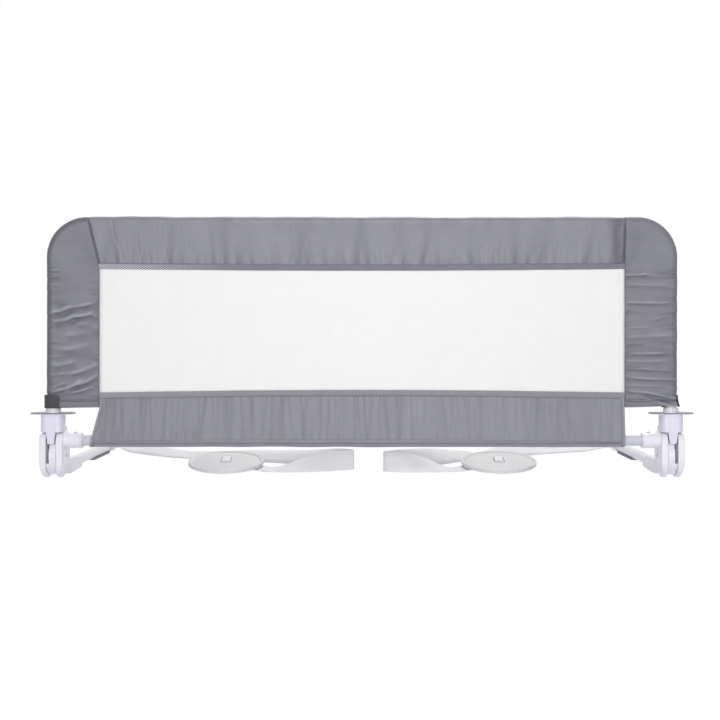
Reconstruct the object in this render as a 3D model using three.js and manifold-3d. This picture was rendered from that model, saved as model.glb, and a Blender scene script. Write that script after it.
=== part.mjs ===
import * as THREE from 'three';
import { mergeVertices } from 'three/addons/utils/BufferGeometryUtils.js';
import Module from 'manifold-3d';

const wasm = await Module();
wasm.setup();

// Millimetres. X runs along the rail, -Y faces the room, +Y goes under the mattress, +Z is up.
// The ground is Z = 0 and the uprights stand on Y = 0.

// Clearances
const gap = 0.3; // between pieces that touch
const overrun = 2; // how far a cut goes past a face

// Cover, as seen from the front
const coverSpan = 1100;
const coverHeight = 455;
const clothWall = 1.2;
const sidePanelWidth = 92;
const topPanelHeight = 89;
const hemToWindow = 26; // from the side hems up to the window's lower edge
const windowBow = 7; // how far the window's long edges bow towards its middle
const bindingWidth = 8;
const seamHalfThickness = 1.4;
const topSeamLean = 19; // the left seam of the top panel leans outwards by this much
const hemLean = 17; // and so does the left edge of the bottom panel
const foldDepth = 1.6; // of the cloth's gathers

// Frame tubes
const tubeDiameter = 19;
const tubeWall = 1.2;
const bendRadius = 60;
const cornerRun = 170; // of the corner tube past its bend
const crossTubeRise = 26.6; // of its axis above the pivot's
const swageLength = 36;
const swageStep = 1.5;

// Brackets
const earThickness = 11;
const slotWidth = 17.5;
const earAboveTube = 14.4; // of the ears' tops above the cross tube's axis
const earFront = 20; // ahead of the upright
const earBack = 38; // behind it
const earTopRadius = 15;
const earFootRadius = 24;
const earRearRadius = 8;
const earEdge = 1.2;
const earShoulder = 5; // chamfer along the outer ear's top
const earFootTaper = 6;
const bridgeThickness = 5.6;
const bridgeSetback = 6; // front of the bridge, ahead of the upright
const rearBlockHeight = 9;
const rearBlockDepth = 19;
const rearBlockHalfWidth = 15;
const neckDiameter = 26;
const neckRoot = 3;
const socketDiameter = 26;
const socketLength = 31.5;
const socketRim = 1;
const socketRimLength = 3;
const socketFloor = 8;

// Pivot
const pivotHeight = 38;
const pivotSetback = 14.5; // behind the upright
const pinDiameter = 8;
const pinHeadDiameter = 13;
const pinHeadThickness = 2.6;
const pinRecess = 6; // of the pin's end in the inner ear
const spacerDiameter = 15;

// Lock collar
const collarWidth = 37.5;
const collarDepth = 37;
const collarHeight = 31.3;
const collarTravel = 8;
const hemClearance = 0.5; // under the side panels' hems with the collar raised
const collarLift = 1; // above the ears
const collarCorner = 9;
const flangeWidth = 78;
const flangeDepth = 46;
const flangeThickness = 2.2;
const springWire = 1.2;
const springCurls = 4;
const springPocket = 3; // widening of the bore round the spring
const springSeat = 12; // height of the pocket's floor in the collar
const stopRingThickness = 3.2;
const tongueThickness = 4.6;
const tongueTip = 60; // height of its lower end
const tongueTipWidth = 11;
const tongueWidth = 16.3;
const tongueRadius = 3;
const tongueProud = 0.9; // of the collar's front
const collarGroove = 2.5; // down the collar's inner side
const collarGrooveDepth = 1;
const collarGrooveSetback = 15; // behind the collar's front
const collarPocketLength = 5.5;
const collarPocketHeight = 6;
const collarPocketDepth = 2.5;
const collarPocketSetback = 24;
const collarPocketDrop = 5; // below the flange

// Legs
const barrelRadius = 34.4;
const barrelSlitWidth = 5.6;
const barrelSlitFloor = 26;
const barrelSlitDepth = 24;
const lockNotchHeight = 9;
const lockNotchDepth = 7;
const legLength = 488; // behind the upright
const legBodyWidth = 32;
const legBodyStart = 57;
const legBodyEnd = 152;
const legBodyTop = 28.5;
const legBodyHeel = 95; // where its underside starts to rise
const legBodyEdge = 2.5;
const armTop = 61;
const armUnderside = 19;
const armShoulder = 48; // its height above the body's front end
const legTubeHeight = 13; // of its axis
const legTubeInset = 88; // of its front end
const capLength = 9;
const capRadius = 12.6;
const capPlugLength = 22;
const gripWidth = 14;
const gripLength = 142;
const gripSetback = 50; // from the leg's rear end
const gripHeight = 4.6;
const gripRibs = 12;
const gripRibDepth = 0.8;

// Fasteners and buttons
const screwDiameter = 3.4;
const screwHeadDiameter = 6.8;
const screwHeadThickness = 2.4;
const screwLength = 26;
const screwSpacing = 8.2;
const screwDriveWidth = 2.4;
const buttonDiameter = 6;
const buttonProud = 2.2;
const clipThickness = 0.8;
const clipWidth = 8;
const clipLength = 30;
const clipDrop = 5; // how far the clip's tail springs away
const socketButtonInset = 12; // from the socket's mouth

// Straps and discs
const strapWidth = 36;
const loopTail = 6; // of the sewn loop, towards the strap
const strapThickness = 1.6;
const discDiameter = 138;
const discThickness = 4;
const discRim = 2.2;
const discRimWidth = 5;
const discCrown = 4;
const discSlotLength = 38;
const discSlotWidth = 4.5;
const discSlotSpacing = 15;
const discTilt = THREE.MathUtils.degToRad(9.5);
const discXShare = 0.46568; // of the way out to the upright
const discYShare = 0.2459; // of the leg's length

// Net
const netColumns = 14;
const netRows = 4;
const netBar = 3;
const netThickness = 1;

// Closure tabs
const tabHeight = 22;
const tabThickness = 1.2;
const tabReach = 12.5; // past the upright's axis, towards the window
const tabStub = 8; // how far the right tab shows at the front

// Facets
const roundSides = 18;
const tubeSides = 12;
const smallSides = 8;
const wireSides = 4;
const stepsPerCurl = 8;
const bendSteps = 6;
const curveSteps = 3;
const panelRanks = 4;
const sideStations = 18;
const sideWaves = 5;
const straightShare = 0.66; // of a side panel's stations, up to the bend
const bendShare = 0.94; // and up to the bend's end
const longStations = 31;
const longWaves = 8;
const bandStations = 16;
const strapStations = 40;

// Worked out
const crossTubeHeight = pivotHeight + crossTubeRise;
const earTop = crossTubeHeight + earAboveTube;
const collarBottom = earTop + collarLift;
const collarTop = collarBottom + collarHeight;
const flangeTop = collarTop + flangeThickness;
const sideHemHeight = flangeTop + collarTravel + hemClearance; // lower edge of the side panels
const windowHalfSpan = coverSpan / 2 - sidePanelWidth;
const windowTop = coverHeight - topPanelHeight;
const windowBottom = sideHemHeight + hemToWindow;
const gripEnd = legLength - gripSetback;
const gripStart = gripEnd - gripLength;
const tubeRadius = tubeDiameter / 2;
const channelRadius = tubeRadius + gap;
const sleeveRadius = channelRadius + clothWall;
const uprightX = coverSpan / 2 - sleeveRadius;
const topTubeHeight = coverHeight - sleeveRadius;
const panelDepth = uprightX - windowHalfSpan;
const slotHalf = slotWidth / 2;
const earOuter = slotHalf + earThickness;
const neckRadius = neckDiameter / 2;
const neckTop = sideHemHeight - gap;
const pivotY = pivotSetback;
const bridgeBottom = earTop - bridgeThickness;
const collarBore = neckRadius + gap;
const pocketRadius = collarBore + springPocket;
const socketMouth = earOuter + socketLength;
const tubeInnerRadius = tubeRadius - tubeWall;
const discPlaceX = uprightX * discXShare;
const discPlaceY = legLength * discYShare;

// Colours and finishes
const finish = (color, roughness, metalness = 0) => new THREE.MeshStandardMaterial({ color, roughness, metalness });
const coverCloth = finish('#85858f', 0.9);
const bindingCloth = finish('#6f6f77', 0.9);
const netCloth = finish('#f2f2f4', 0.8);
const tabCloth = finish('#4a4b50', 0.95);
const whitePlastic = finish('#e8e8ee', 0.45);
const greyPlastic = finish('#dcdcdc', 0.5);
const paintedSteel = finish('#ececf0', 0.35, 0.2);
const brightSteel = finish('#b9bbc0', 0.3, 1);
const blackSteel = finish('#3a3a3f', 0.5, 0.6);
const darkRubber = finish('#55565b', 0.9);
const webbing = finish('#efeff5', 0.85);

// A closed geometry as a solid, and back
function solidOf(geometry) {
  const bare = geometry.index ? geometry.clone() : geometry;
  bare.deleteAttribute('normal');
  bare.deleteAttribute('uv');
  const merged = mergeVertices(bare, 1e-4);
  const mesh = new wasm.Mesh({
    numProp: 3,
    vertProperties: new Float32Array(merged.attributes.position.array),
    triVerts: new Uint32Array(merged.index.array),
  });
  return new wasm.Manifold(mesh);
}

function geometryOf(solid) {
  const mesh = solid.getMesh();
  const geometry = new THREE.BufferGeometry();
  const positions = new Float32Array(mesh.numVert * 3);
  for (let i = 0; i < mesh.numVert; i++) {
    for (let k = 0; k < 3; k++) {
      positions[3 * i + k] = mesh.vertProperties[mesh.numProp * i + k];
    }
  }
  geometry.setAttribute('position', new THREE.BufferAttribute(positions, 3));
  geometry.setIndex(Array.from(mesh.triVerts));
  return geometry;
}

const joined = (first, ...others) => others.reduce((solid, other) => solid.add(other), first);
const cutFrom = (first, ...others) => others.reduce((solid, other) => solid.subtract(other), first);

// A box between two corners
function boxSolid(low, high) {
  const size = high.map((value, i) => value - low[i]);
  const geometry = new THREE.BoxGeometry(...size);
  geometry.translate(...low.map((value, i) => value + size[i] / 2));
  return solidOf(geometry);
}

// An outline through corners [a, b, radius], with each corner rounded
function roundedShape(corners) {
  const shape = new THREE.Shape();
  corners.forEach(([a, b, radius = 0], i) => {
    const corner = new THREE.Vector2(a, b);
    const before = new THREE.Vector2(...corners[(i + corners.length - 1) % corners.length]);
    const after = new THREE.Vector2(...corners[(i + 1) % corners.length]);
    const into = before.clone().sub(corner).normalize();
    const out = after.clone().sub(corner).normalize();
    const half = Math.acos(THREE.MathUtils.clamp(into.dot(out), -1, 1)) / 2;
    const back = radius / Math.tan(half);
    const start = corner.clone().addScaledVector(into, back);
    const end = corner.clone().addScaledVector(out, back);
    if (i === 0) {
      shape.moveTo(start.x, start.y);
    } else {
      shape.lineTo(start.x, start.y);
    }
    if (radius > 0) {
      const middle = into.clone().add(out).normalize();
      const centre = corner.clone().addScaledVector(middle, radius / Math.sin(half));
      const from = Math.atan2(start.y - centre.y, start.x - centre.x);
      const to = Math.atan2(end.y - centre.y, end.x - centre.x);
      const turn = into.x * out.y - into.y * out.x;
      shape.absarc(centre.x, centre.y, radius, from, to, turn > 0);
    }
  });
  shape.closePath();
  return shape;
}

// An outline in (y, z) made solid from x = low to x = high, with its edges eased
function alongX(shape, low, high, edge = 0) {
  const geometry = new THREE.ExtrudeGeometry(shape, {
    depth: high - low - 2 * edge,
    bevelEnabled: edge > 0,
    bevelThickness: edge,
    bevelSize: edge,
    bevelOffset: -edge,
    bevelSegments: 2,
    curveSegments: curveSteps,
  });
  geometry.translate(0, 0, low + edge);
  geometry.applyMatrix4(new THREE.Matrix4().set(0, 0, 1, 0, 1, 0, 0, 0, 0, 1, 0, 0, 0, 0, 0, 1));
  return solidOf(geometry);
}

// An outline in (x, y) made solid from z = low to z = high
function alongZ(shape, low, high, edge = 0) {
  const geometry = new THREE.ExtrudeGeometry(shape, {
    depth: high - low - 2 * edge,
    bevelEnabled: edge > 0,
    bevelThickness: edge,
    bevelSize: edge,
    bevelOffset: -edge,
    bevelSegments: 2,
    curveSegments: curveSteps,
  });
  geometry.translate(0, 0, low + edge);
  return solidOf(geometry);
}

// An outline in (x, z) made solid from y = low to y = high
function alongY(shape, low, high) {
  const geometry = new THREE.ExtrudeGeometry(shape, {
    depth: high - low,
    bevelEnabled: false,
    curveSegments: curveSteps,
  });
  geometry.rotateX(Math.PI / 2);
  geometry.translate(0, high, 0);
  return solidOf(geometry);
}

// A profile of [radius, height] points turned about Z
function turned(profile, sides = roundSides) {
  const points = profile.map(([radius, height]) => new THREE.Vector2(radius, height));
  return new THREE.LatheGeometry(points, sides).rotateX(Math.PI / 2);
}

// A closed profile for a rod, and for a tube
const rodProfile = (radius, low, high, edge = 0) => [
  [0, low],
  [radius - edge, low],
  [radius, low + edge],
  [radius, high - edge],
  [radius - edge, high],
  [0, high],
];
const tubeProfile = (inner, outer, low, high) => [
  [inner, low],
  [outer, low],
  [outer, high],
  [inner, high],
  [inner, low],
];

const rodZ = (radius, low, high, edge = 0, sides = roundSides) =>
  solidOf(turned(rodProfile(radius, low, high, edge), sides));

function rodX(radius, low, high, y, z, edge = 0, sides = roundSides) {
  const geometry = turned(rodProfile(radius, low, high, edge), sides);
  geometry.rotateY(Math.PI / 2);
  geometry.translate(0, y, z);
  return solidOf(geometry);
}

function rodY(radius, low, high, x, z, edge = 0, sides = roundSides) {
  const geometry = turned(rodProfile(radius, low, high, edge), sides);
  geometry.rotateX(-Math.PI / 2);
  geometry.translate(x, 0, z);
  return solidOf(geometry);
}

// A curve that stops only at its own stations, so straight runs take one step
class StationPath extends THREE.Curve {
  constructor(stations) {
    super();
    this.stations = stations;
  }

  getPoint(t, target = new THREE.Vector3()) {
    const last = this.stations.length - 1;
    return target.copy(this.stations[Math.round(t * last)]);
  }

  getPointAt(t, target) {
    return this.getPoint(t, target);
  }

  getSpacedPoints() {
    return this.stations.map((station) => station.clone());
  }

  getTangentAt(t, target = new THREE.Vector3()) {
    const last = this.stations.length - 1;
    const i = Math.round(t * last);
    const before = this.stations[Math.max(i - 1, 0)];
    const after = this.stations[Math.min(i + 1, last)];
    const here = this.stations[i];
    const into = here.clone().sub(before).normalize();
    const out = after.clone().sub(here).normalize();
    return target.copy(into).add(out).normalize();
  }
}

// A round or ring section along a path
function pipe(path, outer, inner = 0, sides = tubeSides) {
  const shape = new THREE.Shape();
  const ring = (radius, target, direction) => {
    for (let i = 0; i < sides; i++) {
      const angle = (direction * i * 2 * Math.PI) / sides;
      const [a, b] = [radius * Math.cos(angle), radius * Math.sin(angle)];
      if (i === 0) {
        target.moveTo(a, b);
      } else {
        target.lineTo(a, b);
      }
    }
    target.closePath();
  };
  ring(outer, shape, 1);
  if (inner > 0) {
    const hole = new THREE.Path();
    ring(inner, hole, -1);
    shape.holes.push(hole);
  }
  const geometry = new THREE.ExtrudeGeometry(shape, { steps: path.stations.length - 1, extrudePath: path });
  return geometry;
}

// The corner tube's centreline, from the neck up, round the bend and along the top
function cornerStations(footHeight, endX) {
  const stations = [new THREE.Vector3(uprightX, 0, footHeight)];
  for (let i = 0; i <= bendSteps; i++) {
    const angle = (i / bendSteps) * (Math.PI / 2);
    const x = uprightX - bendRadius + bendRadius * Math.cos(angle);
    const z = topTubeHeight - bendRadius + bendRadius * Math.sin(angle);
    stations.push(new THREE.Vector3(x, 0, z));
  }
  stations.push(new THREE.Vector3(endX, 0, topTubeHeight));
  return stations;
}

// The same geometry seen in a mirror at X = 0
function mirrored(geometry) {
  const copy = geometry.index ? geometry.toNonIndexed() : geometry.clone();
  const position = copy.attributes.position;
  const array = Array.from(position.array);
  const flipped = [];
  for (let i = 0; i < array.length; i += 9) {
    for (const corner of [0, 2, 1]) {
      flipped.push(-array[i + 3 * corner], array[i + 3 * corner + 1], array[i + 3 * corner + 2]);
    }
  }
  const result = new THREE.BufferGeometry();
  result.setAttribute('position', new THREE.BufferAttribute(new Float32Array(flipped), 3));
  return mergeVertices(result, 1e-4);
}

const group = new THREE.Group();
const leftEnd = new THREE.Group();
const rightEnd = new THREE.Group();
leftEnd.position.x = -uprightX;
rightEnd.position.x = uprightX;
group.add(leftEnd, rightEnd);

function addMesh(parent, name, geometry, material) {
  const mesh = new THREE.Mesh(geometry, material);
  mesh.name = name;
  parent.add(mesh);
  return mesh;
}

// A piece of the right end, in the upright's own frame, and its mirror image at the left
function addPair(name, solid, material) {
  const geometry = geometryOf(solid);
  addMesh(rightEnd, `right_${name}`, geometry, material);
  addMesh(leftEnd, `left_${name}`, mirrored(geometry), material);
}

// The ear's outline, the same for both shells
function earShape() {
  return roundedShape([
    [-earFront, 0, earFootRadius],
    [earBack, 0, earFootRadius],
    [earBack, earTop, earRearRadius],
    [-earFront, earTop, earTopRadius],
  ]);
}

// What an ear keeps of its width, seen from the front
function earFrontShape() {
  return roundedShape([
    [0, -overrun],
    [earOuter - earFootTaper, -overrun],
    [earOuter, earFootRadius, earFootRadius / 2],
    [earOuter, earTop - earShoulder, earShoulder / 2],
    [earOuter - earShoulder, earTop + overrun],
    [0, earTop + overrun],
  ]);
}

const rearBlockTop = earTop + rearBlockHeight;
const rearBlockFront = earBack - rearBlockDepth;
const screwHeight = earTop + rearBlockHeight / 2;
const screwPlaces = [rearBlockFront + screwSpacing / 2 + gap, rearBlockFront + screwSpacing * 3 / 2 + gap];

// One moulded shell: an ear, half of the bridge over the slot and half of the neck
function bracketShell() {
  const ear = alongX(earShape(), slotHalf, earOuter, earEdge)
    .intersect(alongY(earFrontShape(), -earFront - overrun, earBack + overrun));
  const bridge = boxSolid(
    [gap / 2, -bridgeSetback, bridgeBottom],
    [slotHalf + earEdge, earBack - earRearRadius, earTop],
  );
  const block = boxSolid([gap / 2, rearBlockFront, bridgeBottom], [rearBlockHalfWidth, earBack - earEdge, rearBlockTop]);
  const neck = rodZ(neckRadius, earTop - neckRoot, neckTop, earEdge / 2);
  const half = boxSolid([gap / 2, -neckDiameter, 0], [neckDiameter, neckDiameter, coverHeight]);
  const bore = rodZ(channelRadius, earTop + gap, coverHeight, 0, tubeSides);
  return cutFrom(joined(ear, bridge, block, neck.intersect(half)), bore);
}

// The outer shell takes the pin's head and the screws' heads
function addOuterShells() {
  const pinHole = rodX(pinDiameter / 2 + gap, 0, earOuter + overrun, pivotY, pivotHeight);
  const headSeat = earOuter - pinHeadThickness - gap;
  const headHole = rodX(pinHeadDiameter / 2 + gap, headSeat, earOuter + overrun, pivotY, pivotHeight);
  const screwHoles = screwPlaces.flatMap((y) => [
    rodX(screwDiameter / 2 + gap, 0, earOuter, y, screwHeight, 0, tubeSides),
    rodX(screwHeadDiameter / 2 + gap, rearBlockHalfWidth - screwHeadThickness, earOuter, y, screwHeight, 0, tubeSides),
  ]);
  addPair('bracket_outer_shell', cutFrom(bracketShell(), pinHole, headHole, ...screwHoles), whitePlastic);
}

// The inner shell carries the socket of the cross tube
function addInnerShells() {
  const shell = bracketShell().mirror([1, 0, 0]);
  const socket = joined(
    rodX(socketDiameter / 2, -socketMouth, -slotHalf - earEdge, 0, crossTubeHeight, earEdge),
    rodX(socketDiameter / 2 + socketRim, -socketMouth, -socketMouth + socketRimLength, 0, crossTubeHeight, socketRim),
  );
  const bore = rodX(channelRadius, -socketMouth - overrun, -earOuter + earThickness - socketFloor, 0, crossTubeHeight,
    0, tubeSides);
  const buttonX = -socketMouth + socketButtonInset;
  const buttonHole = rodZ(buttonDiameter / 2 + gap, crossTubeHeight, earTop + overrun, 0, tubeSides)
    .translate([buttonX, 0, 0]);
  const pinHole = rodX(pinDiameter / 2 + gap, -earOuter - overrun, 0, pivotY, pivotHeight);
  const screwHoles = screwPlaces.map((y) =>
    rodX(screwDiameter / 2 + gap, -screwLength + rearBlockHalfWidth - gap, 0, y, screwHeight, 0, tubeSides));
  addPair('bracket_inner_shell', cutFrom(joined(shell, socket), bore, buttonHole, pinHole, ...screwHoles), whitePlastic);
}

// The pin runs from a blind recess in the inner ear to its head in the outer one
function addPivots() {
  const head = rodX(pinHeadDiameter / 2, earOuter - pinHeadThickness, earOuter - gap, pivotY, pivotHeight, earEdge / 2);
  const shank = rodX(pinDiameter / 2, -earOuter + pinRecess, earOuter - gap * 2, pivotY, pivotHeight, earEdge / 2);
  addPair('pivot_pin', joined(shank, head), blackSteel);
  const spacer = solidOf(
    turned(tubeProfile(pinDiameter / 2 + gap, spacerDiameter / 2, slotHalf - barrelSlitWidth + gap, slotHalf - gap))
      .rotateY(Math.PI / 2)
      .translate(0, pivotY, pivotHeight),
  );
  addPair('hinge_spacer', spacer, greyPlastic);
}

function addScrews() {
  screwPlaces.forEach((y, i) => {
    const shank = rodX(screwDiameter / 2, -screwLength + rearBlockHalfWidth, rearBlockHalfWidth - screwHeadThickness / 2,
      y, screwHeight, 0, smallSides);
    const head = rodX(screwHeadDiameter / 2, rearBlockHalfWidth - screwHeadThickness + gap,
      rearBlockHalfWidth - gap, y, screwHeight, gap, smallSides);
    const drive = boxSolid(
      [rearBlockHalfWidth - screwHeadThickness / 2, y - screwDriveWidth / 2, screwHeight - screwDriveWidth / 2],
      [rearBlockHalfWidth + overrun, y + screwDriveWidth / 2, screwHeight + screwDriveWidth / 2],
    );
    addPair(`bracket_screw_${i + 1}`, joined(shank, head).subtract(drive), brightSteel);
  });
}

function ovalShape(width, depth) {
  const radius = Math.min(width, depth) / 2;
  return roundedShape([
    [-width / 2, -depth / 2, radius * 0.96],
    [width / 2, -depth / 2, radius * 0.96],
    [width / 2, depth / 2, radius * 0.96],
    [-width / 2, depth / 2, radius * 0.96],
  ]);
}

// The collar slides on the neck; its tongue hangs in front of the barrel
function addCollars() {
  const body = alongZ(roundedShape([
    [-collarWidth / 2, -collarDepth / 2, collarCorner],
    [collarWidth / 2, -collarDepth / 2, collarCorner],
    [collarWidth / 2, collarDepth / 2, collarCorner],
    [-collarWidth / 2, collarDepth / 2, collarCorner],
  ]), collarBottom, collarTop + flangeThickness / 2, earEdge / 2);
  const flange = alongZ(ovalShape(flangeWidth, flangeDepth), collarTop, flangeTop, flangeThickness / 4);
  const strip = boxSolid([-tongueWidth / 2, -collarDepth / 2 - tongueProud, collarBottom],
    [tongueWidth / 2, 0, collarTop + flangeThickness / 2]);
  const tongueFront = -collarDepth / 2 - tongueProud + gap;
  const tongue = alongY(roundedShape([
    [-tongueTipWidth / 2, tongueTip, tongueRadius],
    [tongueTipWidth / 2, tongueTip, tongueRadius],
    [tongueWidth / 2, collarBottom + collarLift],
    [-tongueWidth / 2, collarBottom + collarLift],
  ]), tongueFront, tongueFront + tongueThickness);
  const bore = rodZ(collarBore, collarBottom - overrun, flangeTop + overrun);
  const pocket = rodZ(pocketRadius, collarBottom + springSeat, flangeTop + overrun);
  const side = -collarWidth / 2;
  const grooveFront = -collarDepth / 2 + collarGrooveSetback;
  const groove = boxSolid([side - overrun, grooveFront, collarBottom - overrun],
    [side + collarGrooveDepth, grooveFront + collarGroove, collarTop]);
  const pocketFront = -collarDepth / 2 + collarPocketSetback;
  const pocketTop = collarTop - collarPocketDrop;
  const sidePocket = boxSolid([side - overrun, pocketFront, pocketTop - collarPocketHeight],
    [side + collarPocketDepth, pocketFront + collarPocketLength, pocketTop]);
  const shell = joined(body, strip, flange, tongue);
  addPair('lock_collar', cutFrom(shell, bore, pocket, groove, sidePocket), whitePlastic);
}

const stopRingTop = flangeTop - gap;
const stopRingBottom = stopRingTop - stopRingThickness;

function addStopRings() {
  const ring = turned(tubeProfile(neckRadius + gap, pocketRadius - gap, stopRingBottom, stopRingTop));
  addPair('collar_stop_ring', solidOf(ring), greyPlastic);
}

// The return spring, one unbroken wire between the collar's pocket and the stop ring
function addReturnSprings() {
  const coilRadius = collarBore + springPocket / 2;
  const low = collarBottom + springSeat + gap + springWire / 2;
  const high = stopRingBottom - gap - springWire / 2;
  const stations = [];
  for (let i = 0; i <= springCurls * stepsPerCurl; i++) {
    const share = i / (springCurls * stepsPerCurl);
    const angle = 2 * Math.PI * springCurls * share;
    const z = low + (high - low) * share;
    stations.push(new THREE.Vector3(coilRadius * Math.cos(angle), coilRadius * Math.sin(angle), z));
  }
  addPair('return_spring', solidOf(pipe(new StationPath(stations), springWire / 2, 0, wireSides)), brightSteel);
}

// The leg's hinge body: barrel in the slot, arm, and the wide body that takes the leg tube
function addLegBodies() {
  const barrelHalf = slotHalf - gap;
  const barrel = rodX(barrelRadius, -barrelHalf, barrelHalf, pivotY, pivotHeight, earEdge / 2, roundSides * 2);
  const arm = alongX(roundedShape([
    [pivotY + barrelRadius / 2, armUnderside],
    [legBodyStart + legBodyEdge * 2, armUnderside],
    [legBodyStart + barrelRadius, legBodyTop - legBodyEdge],
    [legBodyStart, armShoulder],
    [pivotY + barrelRadius / 2, armTop],
  ]), -barrelHalf, barrelHalf);
  const tubeBottom = legTubeHeight - tubeRadius;
  const wide = alongX(roundedShape([
    [legBodyStart, 0, legBodyEdge * 2],
    [legBodyHeel, 0],
    [legBodyEnd, tubeBottom - gap * 2],
    [legBodyEnd, legTubeHeight + tubeRadius + legBodyEdge / 2],
    [legBodyStart + barrelRadius, legBodyTop],
    [legBodyStart, legBodyTop, legBodyEdge * 2],
  ]), -legBodyWidth / 2, legBodyWidth / 2, legBodyEdge);
  const slit = boxSolid(
    [slotHalf - barrelSlitWidth, -barrelRadius, barrelSlitFloor],
    [slotHalf, pivotY - barrelRadius + barrelSlitDepth, armTop + barrelRadius],
  );
  const spacerSeat = rodX(spacerDiameter / 2 + gap, slotHalf - barrelSlitWidth, slotHalf, pivotY, pivotHeight);
  const notchTop = tongueTip - gap;
  const notch = boxSolid(
    [-tongueTipWidth / 2, -barrelRadius, notchTop - lockNotchHeight],
    [slotHalf - barrelSlitWidth + overrun, pivotY - barrelRadius + lockNotchDepth, notchTop],
  );
  const pinHole = rodX(pinDiameter / 2 + gap, -slotWidth, slotWidth, pivotY, pivotHeight);
  const tubeBore = rodY(channelRadius, legTubeInset, legBodyEnd + overrun, 0, legTubeHeight, 0, tubeSides);
  addPair('leg_hinge_body', cutFrom(joined(barrel, arm, wide), slit, spacerSeat, notch, pinHole, tubeBore), whitePlastic);
}

const capStart = legLength - capLength;

function addLegTubes() {
  const tube = turned(tubeProfile(tubeInnerRadius, tubeRadius, legTubeInset + gap, capStart - gap), tubeSides);
  tube.rotateX(-Math.PI / 2);
  tube.translate(0, 0, legTubeHeight);
  addPair('leg_tube', solidOf(tube), paintedSteel);
}

// The cap plugs the tube behind the strap's loop
function addLegCaps() {
  const head = rodY(capRadius, capStart, legLength, 0, legTubeHeight, legBodyEdge);
  const plug = rodY(tubeInnerRadius - gap, capStart - capPlugLength, capStart + overrun, 0, legTubeHeight, gap, tubeSides);
  addPair('leg_end_cap', joined(head, plug), whitePlastic);
}

// The strap's sewn end goes round the tube
function addStrapLoops() {
  const loopEnd = capStart - gap;
  const loopRadius = channelRadius + strapThickness;
  const ring = rodY(loopRadius, loopEnd - strapWidth, loopEnd, 0, legTubeHeight)
    .subtract(rodY(channelRadius, loopEnd - strapWidth - overrun, loopEnd + overrun, 0, legTubeHeight, 0, tubeSides));
  const tail = boxSolid(
    [-loopRadius - loopTail, loopEnd - strapWidth, legTubeHeight - strapThickness],
    [-channelRadius - gap, loopEnd, legTubeHeight],
  );
  addPair('strap_loop', joined(ring, tail), webbing);
}

// A ribbed rubber strip under the tube
function addGripStrips() {
  const strip = boxSolid([-gripWidth / 2, gripStart, 0], [gripWidth / 2, gripEnd, gripHeight]);
  const seat = rodY(tubeRadius + gap, gripStart - overrun, gripEnd + overrun, 0, legTubeHeight, 0, tubeSides);
  const pitch = (gripEnd - gripStart) / gripRibs;
  const grooves = [];
  for (let i = 1; i < gripRibs; i++) {
    const y = gripStart + i * pitch;
    grooves.push(boxSolid([-gripWidth, y - pitch / 8, -overrun], [gripWidth, y + pitch / 8, gripRibDepth]));
  }
  addPair('grip_strip', cutFrom(strip, seat, ...grooves), darkRubber);
}

// A spring button: a domed stud on a bowed leaf that lies in the tube
function snapButton(outerReach) {
  const stud = solidOf(turned([
    [0, -clipThickness / 2],
    [buttonDiameter / 2, -clipThickness / 2],
    [buttonDiameter / 2, outerReach - buttonDiameter / 5],
    [buttonDiameter / 3, outerReach],
    [0, outerReach],
  ], tubeSides));
  const leaf = new THREE.Shape();
  leaf.moveTo(-clipWidth / 2, -clipThickness);
  leaf.lineTo(clipWidth / 2, -clipThickness);
  leaf.quadraticCurveTo(clipLength / 2, -clipThickness, clipLength, -clipDrop);
  leaf.lineTo(clipLength, -clipDrop + clipThickness);
  leaf.quadraticCurveTo(clipLength / 2, 0, clipWidth / 2, 0);
  leaf.lineTo(-clipWidth / 2, 0);
  leaf.closePath();
  return stud.add(alongY(leaf, -clipWidth / 4, clipWidth / 4));
}

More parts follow.
